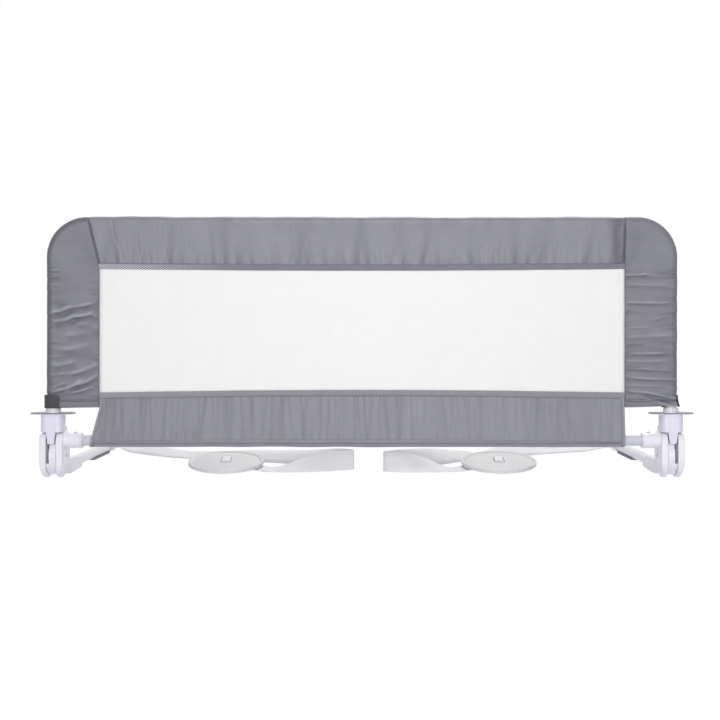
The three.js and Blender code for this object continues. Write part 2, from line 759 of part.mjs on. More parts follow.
function addFrame() {
  const footHeight = earTop + gap * 2;
  const jointX = uprightX - bendRadius - cornerRun;
  const studRadius = buttonDiameter / 2 + gap;
  const swageRadius = tubeInnerRadius - gap;
  const swageBore = swageRadius - tubeWall;
  const cornerHole = rodZ(studRadius, topTubeHeight, topTubeHeight + tubeDiameter, 0, tubeSides)
    .translate([jointX + swageLength / 2, 0, 0]);
  const corner = solidOf(pipe(new StationPath(cornerStations(footHeight, jointX)), tubeRadius, tubeInnerRadius));
  const cornerGeometry = geometryOf(corner.subtract(cornerHole));
  addMesh(group, 'right_corner_tube', cornerGeometry, paintedSteel);
  addMesh(group, 'left_corner_tube', mirrored(cornerGeometry), paintedSteel);

  // The middle tube has a swaged end in each corner tube
  const bodyEnd = jointX - gap;
  const tipEnd = jointX + swageLength;
  const middleProfile = [
    [swageBore, -tipEnd],
    [swageRadius, -tipEnd],
    [swageRadius, -bodyEnd],
    [tubeRadius, -bodyEnd + swageStep],
    [tubeRadius, bodyEnd - swageStep],
    [swageRadius, bodyEnd],
    [swageRadius, tipEnd],
    [swageBore, tipEnd],
    [swageBore, -tipEnd],
  ];
  const studHole = (x, z) => rodZ(studRadius, z, z + tubeDiameter, 0, tubeSides).translate([x, 0, 0]);
  const middle = solidOf(turned(middleProfile, tubeSides).rotateY(Math.PI / 2).translate(0, 0, topTubeHeight));
  const topStudX = jointX + swageLength / 2;
  addMesh(group, 'top_middle_tube', geometryOf(cutFrom(middle,
    studHole(topStudX, topTubeHeight), studHole(-topStudX, topTubeHeight))), paintedSteel);

  // The cross tube is in two halves, the right one swaged into the left one
  const crossEnd = uprightX - slotHalf - socketFloor - gap;
  const leftHalf = solidOf(turned(tubeProfile(tubeInnerRadius, tubeRadius, -crossEnd, -gap / 2), tubeSides)
    .rotateY(Math.PI / 2).translate(0, 0, crossTubeHeight));
  const rightHalf = solidOf(turned([
    [swageBore, -swageLength],
    [swageRadius, -swageLength],
    [swageRadius, gap / 2],
    [tubeRadius, gap / 2 + swageStep],
    [tubeRadius, crossEnd],
    [tubeInnerRadius, crossEnd],
    [tubeInnerRadius, swageStep * 2],
    [swageBore, 0],
    [swageBore, -swageLength],
  ], tubeSides).rotateY(Math.PI / 2).translate(0, 0, crossTubeHeight));
  const socketStudX = uprightX - socketMouth + socketButtonInset;
  const crossStudX = -swageLength / 2;
  addMesh(group, 'left_cross_tube', geometryOf(cutFrom(leftHalf,
    studHole(-socketStudX, crossTubeHeight), studHole(crossStudX, crossTubeHeight))), paintedSteel);
  addMesh(group, 'right_cross_tube', geometryOf(cutFrom(rightHalf,
    studHole(socketStudX, crossTubeHeight), studHole(crossStudX, crossTubeHeight))), paintedSteel);

  // Spring buttons, each under its own hole
  const leafTop = (bore) => bore - gap - tubeWall;
  const place = (name, x, z, bore, reach, turnedBack) => {
    const lift = leafTop(bore);
    const button = geometryOf(snapButton(reach - lift));
    button.translate(0, 0, lift);
    const mesh = addMesh(group, name, turnedBack ? mirrored(button) : button, brightSteel);
    mesh.position.set(x, 0, z);
  };
  const hidden = tubeRadius - gap;
  place('right_top_button', topStudX, topTubeHeight, swageBore, hidden, true);
  place('left_top_button', -topStudX, topTubeHeight, swageBore, hidden, false);
  place('cross_tube_button', crossStudX, crossTubeHeight, swageBore, hidden, false);
  const proud = socketDiameter / 2 + buttonProud;
  place('right_socket_button', socketStudX, crossTubeHeight, tubeInnerRadius, proud, true);
  place('left_socket_button', -socketStudX, crossTubeHeight, tubeInnerRadius, proud, false);
}

// How far a place on the cover lies outside the tubes' line; negative towards the window
function beyondFrame(x, z) {
  const across = Math.abs(x) - uprightX + bendRadius;
  const up = z - topTubeHeight + bendRadius;
  const reach = across > 0 && up > 0 ? Math.hypot(across, up) : Math.max(across, up);
  return reach - bendRadius;
}

const belowCrossTube = (x, z) => crossTubeHeight - z;

// Half the cover's thickness: round over the tube, then drawn in to the seam
function halfThickness(beyond) {
  if (beyond > 0) {
    return Math.sqrt(Math.max(sleeveRadius ** 2 - beyond ** 2, 0));
  }
  const share = Math.max(0, 1 + beyond / panelDepth);
  return seamHalfThickness + (sleeveRadius - seamHalfThickness) * share;
}

// The gathers: waves across the panel that fade out over the tube and towards the seam
function gather(beyond, share, waves, phase) {
  const inward = THREE.MathUtils.clamp((-beyond - sleeveRadius / 2) / sleeveRadius, 0, 1);
  const seamFade = 1 - THREE.MathUtils.clamp(-beyond / panelDepth, 0, 1) ** 3;
  const wave = Math.sin(2 * Math.PI * waves * share + phase) + Math.sin(2 * Math.PI * waves * 1.7 * share + 2 * phase);
  return foldDepth / 2 * inward * seamFade * wave;
}

// Ranks run from the outer edge, close together over the tube, to the seam
function rankShares(length) {
  const round = [0, 1, 2, 3].map((i) => sleeveRadius * (1 - Math.cos((i * Math.PI) / 6)) / length);
  const rest = Array.from({ length: panelRanks }, (_, i) => round[3] + (1 - round[3]) * (i + 1) / panelRanks);
  return [...round, ...rest];
}

// A cover panel between its tube edge and its window edge, closed all round
function panelGeometry({ place, beyond, stations, waves }) {
  const rows = [];
  for (let i = 0; i <= stations; i++) {
    const s = i / stations;
    const [ax, az] = place(s, 0);
    const [bx, bz] = place(s, 1);
    const shares = rankShares(Math.hypot(bx - ax, bz - az));
    rows.push(shares.map((w, j) => {
      const [x, z] = place(s, w);
      const out = beyond(x, z);
      const half = j === 0 ? 0 : halfThickness(out);
      const front = half + (j === 0 ? 0 : gather(out, s, waves, 0));
      const back = half + (j === 0 ? 0 : gather(out, s, waves, 1));
      return [x, z, front, back];
    }));
  }
  const ranks = rows[0].length;
  const positions = [];
  const indices = [];
  rows.forEach((row) => row.forEach(([x, z, front, back]) => positions.push(x, -front, z, x, back, z)));
  const frontOf = (i, j) => 2 * (i * ranks + j);
  const backOf = (i, j) => 2 * (i * ranks + j) + 1;
  const quad = (a, b, c, d) => indices.push(a, b, c, a, c, d);
  for (let i = 0; i < stations; i++) {
    for (let j = 0; j < ranks - 1; j++) {
      quad(frontOf(i, j), frontOf(i + 1, j), frontOf(i + 1, j + 1), frontOf(i, j + 1));
      quad(backOf(i, j), backOf(i, j + 1), backOf(i + 1, j + 1), backOf(i + 1, j));
    }
    quad(frontOf(i, ranks - 1), frontOf(i + 1, ranks - 1), backOf(i + 1, ranks - 1), backOf(i, ranks - 1));
  }
  for (let j = 0; j < ranks - 1; j++) {
    quad(frontOf(0, j + 1), backOf(0, j + 1), backOf(0, j), frontOf(0, j));
    quad(frontOf(stations, j), backOf(stations, j), backOf(stations, j + 1), frontOf(stations, j + 1));
  }
  const geometry = new THREE.BufferGeometry();
  geometry.setAttribute('position', new THREE.BufferAttribute(new Float32Array(positions), 3));
  geometry.setIndex(indices);
  return geometry;
}

// A mesh as a solid facing out, whichever way its faces were wound
function outwards(geometry) {
  const solid = solidOf(geometry);
  return solid.volume() > 0 ? solid : solidOf(flipped(geometry));
}

function flipped(geometry) {
  const copy = geometry.clone();
  const index = Array.from(copy.index.array);
  for (let i = 0; i < index.length; i += 3) {
    [index[i + 1], index[i + 2]] = [index[i + 2], index[i + 1]];
  }
  copy.setIndex(index);
  return copy;
}

const mix = (a, b, share) => a + (b - a) * share;
const bowAt = (x) => windowBow * Math.cos((Math.PI * x) / (2 * windowHalfSpan));
const windowTopAt = (x) => windowTop - bowAt(x);
const windowBottomAt = (x) => windowBottom + bowAt(x);
const topSeamX = (z, lean) => windowHalfSpan + lean * Math.max(0, z - windowTop) / (coverHeight - windowTop);
const coverBottom = crossTubeHeight - sleeveRadius;
const hemSeamX = (z, lean) => windowHalfSpan - gap + lean * Math.max(0, (sideHemHeight - gap - z) / (sideHemHeight - coverBottom));

// A side panel of the right, its seam with the top panel leaning by lean
function sidePanel(lean) {
  const straightTop = topTubeHeight - bendRadius;
  const seamTopX = topSeamX(coverHeight, lean) + gap / 2;
  const centreX = uprightX - bendRadius;
  const outerRadius = bendRadius + sleeveRadius;
  const arcEndAngle = Math.acos(Math.max(0, (seamTopX - centreX) / outerRadius));
  const outerAt = (s) => {
    if (s <= straightShare) {
      return [uprightX + sleeveRadius, mix(sideHemHeight, straightTop, s / straightShare)];
    }
    if (s <= bendShare) {
      const angle = arcEndAngle * (s - straightShare) / (bendShare - straightShare);
      return [centreX + outerRadius * Math.cos(angle), straightTop + outerRadius * Math.sin(angle)];
    }
    const endX = centreX + outerRadius * Math.cos(arcEndAngle);
    return [mix(endX, seamTopX, (s - bendShare) / (1 - bendShare)), coverHeight];
  };
  const innerAt = (s) => [windowHalfSpan + gap / 2, mix(sideHemHeight, windowTop, s)];
  const place = (s, w) => {
    const [ox, oz] = outerAt(s);
    const [ix, iz] = innerAt(s);
    return [mix(ox, ix, w), mix(oz, iz, w)];
  };
  const panel = outwards(panelGeometry({ place, beyond: beyondFrame, stations: sideStations, waves: sideWaves }));
  const channel = solidOf(pipe(
    new StationPath(cornerStations(sideHemHeight - overrun, windowHalfSpan - bendRadius)), channelRadius));
  return panel.subtract(channel);
}

function longPanel(outerZ, innerZAt, edgeX, leftLean, beyond, tubeZ) {
  const place = (s, w) => {
    const middleX = mix(-windowHalfSpan, windowHalfSpan, s);
    const z = mix(outerZ, innerZAt(middleX), w);
    return [mix(-edgeX(z, leftLean), edgeX(z, 0), s), z];
  };
  const panel = outwards(panelGeometry({ place, beyond, stations: longStations, waves: longWaves }));
  return panel.subtract(rodX(channelRadius, -coverSpan, coverSpan, 0, tubeZ, 0, tubeSides));
}

// A flat strip between two curves along X
function strip(lowAt, highAt, halfSpan, halfDepth, stations) {
  const positions = [];
  const indices = [];
  for (let i = 0; i <= stations; i++) {
    const x = mix(-halfSpan, halfSpan, i / stations);
    positions.push(x, -halfDepth, lowAt(x), x, -halfDepth, highAt(x), x, halfDepth, highAt(x), x, halfDepth, lowAt(x));
  }
  for (let i = 0; i < stations; i++) {
    for (let k = 0; k < 4; k++) {
      const [a, b] = [4 * i + k, 4 * i + ((k + 1) % 4)];
      indices.push(a, a + 4, b + 4, a, b + 4, b);
    }
  }
  const last = 4 * stations;
  indices.push(0, 1, 2, 0, 2, 3, last, last + 2, last + 1, last, last + 3, last + 2);
  const geometry = new THREE.BufferGeometry();
  geometry.setAttribute('position', new THREE.BufferAttribute(new Float32Array(positions), 3));
  geometry.setIndex(indices);
  return outwards(geometry);
}

// The window's net: bars with open squares between them
function netGeometry() {
  const halfSpan = windowHalfSpan - gap;
  const lines = (count, low, high) => {
    const pitch = (high - low - netBar) / count;
    return Array.from({ length: count + 1 }, (_, i) => [low + i * pitch, low + i * pitch + netBar]).flat();
  };
  const columns = lines(netColumns, -halfSpan, halfSpan);
  const rowShares = lines(netRows, windowBottom, windowTop).map((z) => (z - windowBottom) / (windowTop - windowBottom));
  const positions = [];
  for (const x of columns) {
    for (const share of rowShares) {
      const z = mix(windowBottomAt(x) + gap, windowTopAt(x) - gap, share);
      positions.push(x, -netThickness / 2, z, x, netThickness / 2, z);
    }
  }
  const indices = [];
  const at = (i, j, back) => 2 * (i * rowShares.length + j) + back;
  const filled = (i, j) => i >= 0 && j >= 0 && i < columns.length - 1 && j < rowShares.length - 1
    && (i % 2 === 0 || j % 2 === 0);
  const wall = (a, b) => indices.push(at(...a, 0), at(...b, 0), at(...b, 1), at(...a, 0), at(...b, 1), at(...a, 1));
  for (let i = 0; i < columns.length - 1; i++) {
    for (let j = 0; j < rowShares.length - 1; j++) {
      if (filled(i, j)) {
        const corners = [[i, j], [i + 1, j], [i + 1, j + 1], [i, j + 1]];
        const [a, b, c, d] = corners.map((corner) => at(...corner, 0));
        const [e, f, g, h] = corners.map((corner) => at(...corner, 1));
        indices.push(a, b, c, a, c, d, e, g, f, e, h, g);
        const beside = [[i, j - 1], [i + 1, j], [i, j + 1], [i - 1, j]];
        beside.forEach((neighbour, k) => {
          if (!filled(...neighbour)) {
            wall(corners[(k + 1) % 4], corners[k]);
          }
        });
      }
    }
  }
  const geometry = new THREE.BufferGeometry();
  geometry.setAttribute('position', new THREE.BufferAttribute(new Float32Array(positions), 3));
  geometry.setIndex(indices);
  return geometry;
}

// A closure tab folded round the sleeve's outer edge. Its front reaches towards the window,
// or ends on the round of the sleeve where that reach is negative
function closureTab(frontReach, backReach) {
  const outline = (offset) => {
    const radius = sleeveRadius + foldDepth / 2 + offset;
    const start = frontReach > 0 ? -Math.PI / 2 : -Math.acos(-frontReach / sleeveRadius);
    const points = frontReach > 0 ? [[-frontReach, -radius]] : [];
    for (let i = 0; i <= curveSteps * 2; i++) {
      const angle = mix(start, Math.PI / 2, i / (curveSteps * 2));
      points.push([radius * Math.cos(angle), radius * Math.sin(angle)]);
    }
    points.push([-backReach, radius]);
    return points;
  };
  const corners = [...outline(tabThickness + gap), ...outline(gap).reverse()];
  const shape = new THREE.Shape(corners.map(([a, b]) => new THREE.Vector2(a, b)));
  return alongZ(shape, sideHemHeight, sideHemHeight + tabHeight);
}

function addCover() {
  const leftPanel = geometryOf(sidePanel(topSeamLean));
  addMesh(group, 'cover_left_panel', mirrored(leftPanel), coverCloth);
  addMesh(group, 'cover_right_panel', geometryOf(sidePanel(0)), coverCloth);
  const topEdgeX = (z, lean) => topSeamX(z, lean) - gap / 2;
  const topPanel = longPanel(coverHeight, (x) => windowTopAt(x) + bindingWidth + gap, topEdgeX, topSeamLean,
    beyondFrame, topTubeHeight);
  addMesh(group, 'cover_top_panel', geometryOf(topPanel), coverCloth);
  const bottomPanel = longPanel(coverBottom, (x) => windowBottomAt(x) - bindingWidth - gap, hemSeamX, hemLean,
    belowCrossTube, crossTubeHeight);
  addMesh(group, 'cover_bottom_panel', geometryOf(bottomPanel), coverCloth);
  const bandSpan = windowHalfSpan - gap;
  const topBand = strip(windowTopAt, (x) => windowTopAt(x) + bindingWidth, bandSpan, seamHalfThickness, bandStations);
  addMesh(group, 'window_top_binding', geometryOf(topBand), bindingCloth);
  const lowBand = strip((x) => windowBottomAt(x) - bindingWidth, windowBottomAt, bandSpan, seamHalfThickness, bandStations);
  addMesh(group, 'window_bottom_binding', geometryOf(lowBand), bindingCloth);
  addMesh(group, 'mesh_window', geometryOf(outwards(netGeometry())), netCloth);
  addMesh(rightEnd, 'right_closure_tab', geometryOf(closureTab(-tabStub, tabReach)), tabCloth);
  addMesh(leftEnd, 'left_closure_tab', mirrored(geometryOf(closureTab(tabReach, tabReach))), tabCloth);
}

// Each strap's middle line as [x, y, z, lean]: from its loop on the leg, over the ground in shares
// of the upright's distance and of the leg's length, to the disc. Lean is in degrees from standing on
// edge, and its sign follows the strap through its fold.
const leftFromLoop = [
  [-0.8, 0, 11.9, 90],
  [-9.6, -0.1, 11.8, 90],
  [-21.6, -3.7, 11.2, 84],
];
const leftGroundShares = [
  [0.88683, 0.90164, 9, 72],
  [0.82189, 0.84221, 9, 64],
  [0.73840, 0.75000, 7.3, 70],
  [0.66234, 0.69057, 6, 74],
  [0.59369, 0.65574, 6.8, 70],
  [0.52134, 0.62090, 8, 67],
  [0.41002, 0.54918, 10.8, 57],
  [0.33395, 0.51639, 11.4, 54],
  [0.26902, 0.47951, 12.4, 50],
  [0.16698, 0.40164, 15, 38],
  [0.09276, 0.32787, 18, 16],
  [0.04824, 0.27664, 19, 0],
  [0.03154, 0.25410, 19, 0],
  [0.03154, 0.23361, 19, 0],
  [0.05009, 0.21721, 19, -3],
  [0.09276, 0.19467, 18.6, -14],
  [0.15584, 0.16803, 16.2, -34],
  [0.21521, 0.15779, 11.6, -56],
  [0.27087, 0.17008, 6.2, -75],
  [0.31169, 0.18852, 3.4, -84],
];
const rightFromLoop = [
  [-0.8, 0, 11.9, 90],
  [-9.6, 0.1, 11.8, 90],
  [-21.6, 0.7, 11, 86],
];
const rightGroundShares = [
  [0.87199, 0.94467, 7.6, 78],
  [0.78664, 0.92623, 5.8, 76],
  [0.70315, 0.87090, 5.8, 77],
  [0.59555, 0.79508, 9.4, 62],
  [0.52319, 0.77869, 8.6, 66],
  [0.45640, 0.72131, 4.4, 82],
  [0.40074, 0.65984, 7.4, 70],
  [0.35250, 0.58197, 10, 60],
  [0.28571, 0.45492, 14.6, 40],
  [0.20037, 0.33607, 17.6, 20],
  [0.12987, 0.25615, 19, 4],
  [0.08720, 0.20902, 19, 0],
  [0.07236, 0.18443, 19, 0],
  [0.07607, 0.16393, 19, 0],
  [0.09833, 0.15164, 19, -3],
  [0.14842, 0.14344, 18, -18],
  [0.20779, 0.14549, 14, -46],
  [0.26345, 0.16393, 7.8, -70],
  [0.31169, 0.18852, 3.4, -84],
];
const toDisc = [
  [-65, -18.5, 4.4, -84],
  [-46, -8, 8.4, -82],
  [-28, -1.6, 11.9, -80.5],
  [-15, -0.4, 13.2, -80.5],
  [-8.8, -0.4, 13.6, -80.5],
];

function strapRoute(fromLoop, groundShares, side) {
  const tailX = uprightX - channelRadius - strapThickness - loopTail;
  const loopY = capStart - gap - strapWidth / 2;
  return [
    ...fromLoop.map(([x, y, z, lean]) => [side * (tailX + x), loopY + y, z, lean]),
    ...groundShares.map(([x, y, z, lean]) => [side * x * uprightX, y * legLength, z, lean]),
    ...toDisc.map(([x, y, z, lean]) => [side * (discPlaceX + x), discPlaceY + y, z, lean]),
  ];
}

// Webbing as a ribbon along its route
function ribbon(route, side) {
  const middle = new THREE.CatmullRomCurve3(route.map(([x, y, z]) => new THREE.Vector3(x, y, z)), false, 'centripetal');
  const lean = new THREE.CatmullRomCurve3(route.map(([x, , , angle]) => new THREE.Vector3(angle, 0, 0)), false);
  const up = new THREE.Vector3(0, 0, 1);
  const positions = [];
  const indices = [];
  for (let i = 0; i <= strapStations; i++) {
    const t = i / strapStations;
    const centre = middle.getPoint(t);
    centre.z += gap;
    const ahead = middle.getTangent(t);
    const beside = new THREE.Vector3(-ahead.y, ahead.x, 0).normalize().multiplyScalar(side);
    const angle = THREE.MathUtils.degToRad(THREE.MathUtils.clamp(lean.getPoint(t).x, -90, 90));
    const across = up.clone().multiplyScalar(Math.cos(angle)).addScaledVector(beside, Math.sin(angle));
    across.addScaledVector(ahead, -across.dot(ahead)).normalize();
    const through = new THREE.Vector3().crossVectors(ahead, across).normalize();
    for (const [a, b] of [[-1, -1], [1, -1], [1, 1], [-1, 1]]) {
      const corner = centre.clone().addScaledVector(across, (a * strapWidth) / 2)
        .addScaledVector(through, (b * strapThickness) / 2);
      positions.push(corner.x, corner.y, corner.z);
    }
    if (i < strapStations) {
      for (let k = 0; k < 4; k++) {
        // both faces share their diagonals, so a twist keeps the webbing's thickness
        const [a, b] = [4 * i + k, 4 * i + ((k + 1) % 4)];
        indices.push(...(k < 2 ? [a, a + 4, b + 4, a, b + 4, b] : [a, a + 4, b, a + 4, b + 4, b]));
      }
    }
  }
  const last = 4 * strapStations;
  indices.push(0, 1, 2, 0, 2, 3, last, last + 2, last + 1, last, last + 3, last + 2);
  const geometry = new THREE.BufferGeometry();
  geometry.setAttribute('position', new THREE.BufferAttribute(new Float32Array(positions), 3));
  geometry.setIndex(indices);
  return outwards(geometry);
}

// The anchor disc, a shallow dome with a raised rim and two slots for the webbing
function discSolid() {
  const radius = discDiameter / 2;
  const innerRim = radius - discRimWidth;
  const plate = solidOf(turned([
    [0, discCrown],
    [radius / 2, discCrown * 3 / 4],
    [innerRim, 0],
    [radius, 0],
    [radius, discThickness + discRim],
    [innerRim, discThickness + discRim],
    [innerRim - discRimWidth / 2, discThickness],
    [radius / 2, discThickness + discCrown * 3 / 4],
    [0, discThickness + discCrown],
  ], roundSides * 3 / 2));
  const slots = [-1, 1].map((side) => {
    const middle = side * discSlotSpacing / 2;
    return boxSolid([middle - discSlotWidth / 2, -discSlotLength / 2, -overrun],
      [middle + discSlotWidth / 2, discSlotLength / 2, discThickness + discCrown + overrun]);
  });
  return cutFrom(plate, ...slots);
}

// The webbing's bight over the bar between the slots
function bightSolid() {
  const top = discThickness + discCrown + gap;
  const half = discSlotSpacing / 2 + strapThickness / 2;
  const foot = discCrown - strapThickness - gap * 3;
  const block = boxSolid([-half, -strapWidth / 2, foot], [half, strapWidth / 2, top + strapThickness]);
  const inside = boxSolid([-half + strapThickness, -strapWidth, foot - overrun], [half - strapThickness, strapWidth, top]);
  return block.subtract(inside);
}

function addStraps() {
  const leftRoute = strapRoute(leftFromLoop, leftGroundShares, -1);
  const rightRoute = strapRoute(rightFromLoop, rightGroundShares, 1);
  addMesh(group, 'left_strap', geometryOf(ribbon(leftRoute, 1)), webbing);
  addMesh(group, 'right_strap', geometryOf(ribbon(rightRoute, -1)), webbing);
  const disc = geometryOf(discSolid());
  const bight = geometryOf(bightSolid());
  for (const [name, x] of [['left', -discPlaceX], ['right', discPlaceX]]) {
    const tilted = new THREE.Group();
    tilted.position.set(x, discPlaceY, discDiameter / 2 * Math.sin(discTilt) + gap);
    tilted.rotation.x = discTilt;
    group.add(tilted);
    addMesh(tilted, `${name}_anchor_disc`, disc, greyPlastic);
    addMesh(tilted, `${name}_strap_bight`, bight, webbing);
  }
}

// The origin is on the ground, in the middle of the whole part
group.position.y = -(legLength - flangeDepth / 2) / 2;

addOuterShells();
addInnerShells();
addPivots();
addScrews();
addCollars();
addStopRings();
addReturnSprings();
addLegBodies();
addLegTubes();
addLegCaps();
addGripStrips();
addStrapLoops();
addFrame();
addCover();
addStraps();

export default group;
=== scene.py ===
import bpy
import random
from math import acos, cos, degrees, pi, radians, sin
import numpy as np
from mathutils import Matrix, Vector


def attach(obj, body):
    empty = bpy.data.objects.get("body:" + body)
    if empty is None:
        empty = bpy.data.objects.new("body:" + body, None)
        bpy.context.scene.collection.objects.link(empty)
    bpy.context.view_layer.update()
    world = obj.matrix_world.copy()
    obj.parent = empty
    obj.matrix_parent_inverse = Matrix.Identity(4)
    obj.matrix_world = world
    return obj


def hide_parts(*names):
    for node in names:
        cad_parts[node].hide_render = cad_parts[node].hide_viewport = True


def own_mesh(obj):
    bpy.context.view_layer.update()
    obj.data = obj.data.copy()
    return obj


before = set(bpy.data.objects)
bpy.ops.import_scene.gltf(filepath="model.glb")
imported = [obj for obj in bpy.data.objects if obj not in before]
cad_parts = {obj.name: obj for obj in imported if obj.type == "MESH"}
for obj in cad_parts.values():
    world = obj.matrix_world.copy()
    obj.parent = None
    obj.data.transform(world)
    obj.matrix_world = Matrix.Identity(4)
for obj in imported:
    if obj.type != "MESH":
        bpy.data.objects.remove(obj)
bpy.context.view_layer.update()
print("frame loaded")

mm = 0.001
scene = bpy.context.scene
railY = -232.5  # the uprights' plane, in mm
toRail = np.array([0, railY, 0])

# camera: level, in front of the rail; its shifts are in px of the 720 px picture
camera = {"lens": 62.5, "sensor": 36, "away": 2182.5, "x": 15, "z": 254, "shift": (-10.6, -28), "picture": 720,
          "clipEnd": 50}
cameraData = bpy.data.cameras.new("camera")
cameraObject = bpy.data.objects.new("camera", cameraData)
scene.collection.objects.link(cameraObject)
cameraData.lens = camera["lens"]
cameraData.sensor_width = camera["sensor"]
cameraData.shift_x, cameraData.shift_y = (px / camera["picture"] for px in camera["shift"])
cameraData.clip_end = camera["clipEnd"]
cameraObject.location = (camera["x"] * mm, (railY - camera["away"]) * mm, camera["z"] * mm)
cameraObject.rotation_euler = (pi / 2, 0, 0)
scene.camera = cameraObject


def linear(hexColour):
    values = []
    for i in (0, 2, 4):
        v = int(hexColour[i:i + 2], 16) / 255
        values.append(v / 12.92 if v <= 0.04045 else ((v + 0.055) / 1.055) ** 2.4)
    return (*values, 1.0)


def setInputs(tree, node, inputs):
    # an input takes a value, a hex colour, an output of another node, or a node, for the first output it has on
    for key, value in inputs.items() if isinstance(inputs, dict) else enumerate(inputs):
        if isinstance(value, bpy.types.Node):
            value = next(output for output in value.outputs if output.enabled)
        if isinstance(value, bpy.types.NodeSocket):
            tree.links.new(value, node.inputs[key])
        else:
            node.inputs[key].default_value = linear(value) if isinstance(value, str) else value


def addNode(tree, kind, inputs=(), **settings):
    node = tree.nodes.new("ShaderNode" + kind)
    for key, value in settings.items():
        setattr(node, key, value)
    setInputs(tree, node, inputs)
    return node


def newMaterial(name, settings):
    material = bpy.data.materials.new(name)
    material.use_nodes = True
    tree = material.node_tree
    shader = tree.nodes["Principled BSDF"]
    setInputs(tree, shader, settings)
    return material, tree, shader


def smooth(t):
    t = np.clip(t, 0, 1)
    return t * t * (3 - 2 * t)


def runAlong(points):
    # how far along a line each of its points lies
    return np.concatenate([[0], np.cumsum(np.linalg.norm(np.diff(points, axis=0), axis=1))])


def unit(v):
    return v / np.linalg.norm(v)


def newObject(name, points, faces, material, uvs=None, edges=()):
    mesh = bpy.data.meshes.new(name)
    mesh.from_pydata([tuple(float(v) * mm for v in p) for p in points], edges, [tuple(f) for f in faces])
    mesh.validate()
    piece = bpy.data.objects.new(name, mesh)
    scene.collection.objects.link(piece)
    mesh.materials.append(material)
    if uvs is not None:
        layer = mesh.uv_layers.new(name="cloth")
        for loop in mesh.loops:
            layer.data[loop.index].uv = uvs[loop.vertex_index]
    mesh.shade_smooth()
    return piece


def onlySelect(piece):
    bpy.ops.object.select_all(action="DESELECT")
    piece.select_set(True)
    bpy.context.view_layer.objects.active = piece


def editMesh(piece, *steps):
    # mesh tools with their settings, each on the whole mesh; at last its faces are turned outwards
    onlySelect(piece)
    bpy.ops.object.mode_set(mode="EDIT")
    for tool, settings in (*steps, ("normals_make_consistent", {"inside": False})):
        bpy.ops.mesh.select_all(action="SELECT")
        getattr(bpy.ops.mesh, tool)(**settings)
    bpy.ops.object.mode_set(mode="OBJECT")


def modify(piece, kind, **settings):
    modifier = piece.modifiers.new(kind, kind)
    for key, value in settings.items():
        setattr(modifier, key, value)
    onlySelect(piece)
    bpy.ops.object.modifier_apply(modifier=modifier.name)


def solidify(piece, thickness, offset=-1):
    modify(piece, "SOLIDIFY", thickness=thickness * mm, offset=offset, use_even_offset=False)


def gridFaces(rows, columns, closed=False):
    faces = []
    for i in range(rows - 1):
        for j in range(columns if closed else columns - 1):
            k = (j + 1) % columns
            faces.append((i * columns + j, (i + 1) * columns + j, (i + 1) * columns + k, i * columns + k))
    return faces


def tubeFaces(rows, columns):
    # a closed tube of rows, with a face over each end
    start = (rows - 1) * columns
    return gridFaces(rows, columns, closed=True) + [
        tuple(range(columns)), tuple(reversed(range(start, start + columns)))]


def spots(tree, ways, pitch, wave):
    # rows of spots where two waves cross; the pitch is in mm
    waves = []
    for way in ways:
        phase = addNode(tree, "Math", [way, pi / (pitch * mm)], operation="MULTIPLY")
        waves.append(addNode(tree, "Math", [phase], operation=wave))
    product = addNode(tree, "Math", [waves[0], waves[1]], operation="MULTIPLY")
    return addNode(tree, "Math", [product], operation="ABSOLUTE")


# in mm; real 0.3 mm threads would not show; the crease and ridge colours are painted shade in fold valleys and a
# painted highlight on fold ridges
weave = {"thread": 0.9, "bump": 0.12, "crease": "5a5a62", "ridge": "b0b0ba"}


def wovenCloth(name, tones, roughness, sheen=0.2, thread=weave["thread"], depth=weave["bump"], creased=False):
    # plain-woven polyester: half matt; where asked, a painted highlight on each fold's ridge and painted shade in
    # the creases between
    material, tree, shader = newMaterial(name, {
        "Roughness": roughness, "Sheen Weight": sheen, "Sheen Roughness": 0.4, "Specular IOR Level": 0.5})
    dark, mid, pale = tones
    place = addNode(tree, "TexCoord")
    split = addNode(tree, "SeparateXYZ", [place.outputs["UV"]])
    threads = spots(tree, (split.outputs[0], split.outputs[1]), thread, "SINE")
    blotch = addNode(tree, "TexNoise", {0: place.outputs["Object"], "Scale": 55.0, "Detail": 3.0})
    slub = addNode(tree, "TexNoise", {0: place.outputs["Object"], "Scale": 420.0, "Detail": 2.0})
    tone = dark
    for source, share, colour in ((blotch, 1.0, pale), (slub, 0.5, mid), (threads, 0.35, dark)):
        part = addNode(tree, "Math", [source, share], operation="MULTIPLY")
        tone = addNode(tree, "Mix", {0: part, 6: tone, 7: colour}, data_type="RGBA")
    if creased:
        # painted fold light, set on the cloth's points: below a half it paints crease shade, above it a ridge
        # highlight
        relief = addNode(tree, "Attribute", attribute_name="relief").outputs["Fac"]
        level = addNode(tree, "Math", [relief, 2.0], operation="MULTIPLY", use_clamp=True)
        tone = addNode(tree, "Mix", {0: level, 6: weave["crease"], 7: tone}, data_type="RGBA")
        raised = addNode(tree, "Math", [relief, 0.5], operation="SUBTRACT", use_clamp=True)
        paintedHighlight = addNode(tree, "Math", [raised, 1.1], operation="MULTIPLY")
        tone = addNode(tree, "Mix", {0: paintedHighlight, 6: tone, 7: weave["ridge"]}, data_type="RGBA")
    bump = addNode(tree, "Bump", {"Strength": 0.5, "Distance": depth * mm, "Height": threads})
    setInputs(tree, shader, {"Base Color": tone, "Normal": bump})
    return material


coverCloth = wovenCloth("wovenPolyester", ("7c7c84", "85858d", "8e8e96"), 0.42, creased=True)
# the same cloth in a darker copy for the side panels: painted shade, as less light falls on the ends than on the
# middle
shadedSideCloth = wovenCloth("wovenPolyesterAcross", ("6e6e76", "76767e", "7f7f87"), 0.4, creased=True)
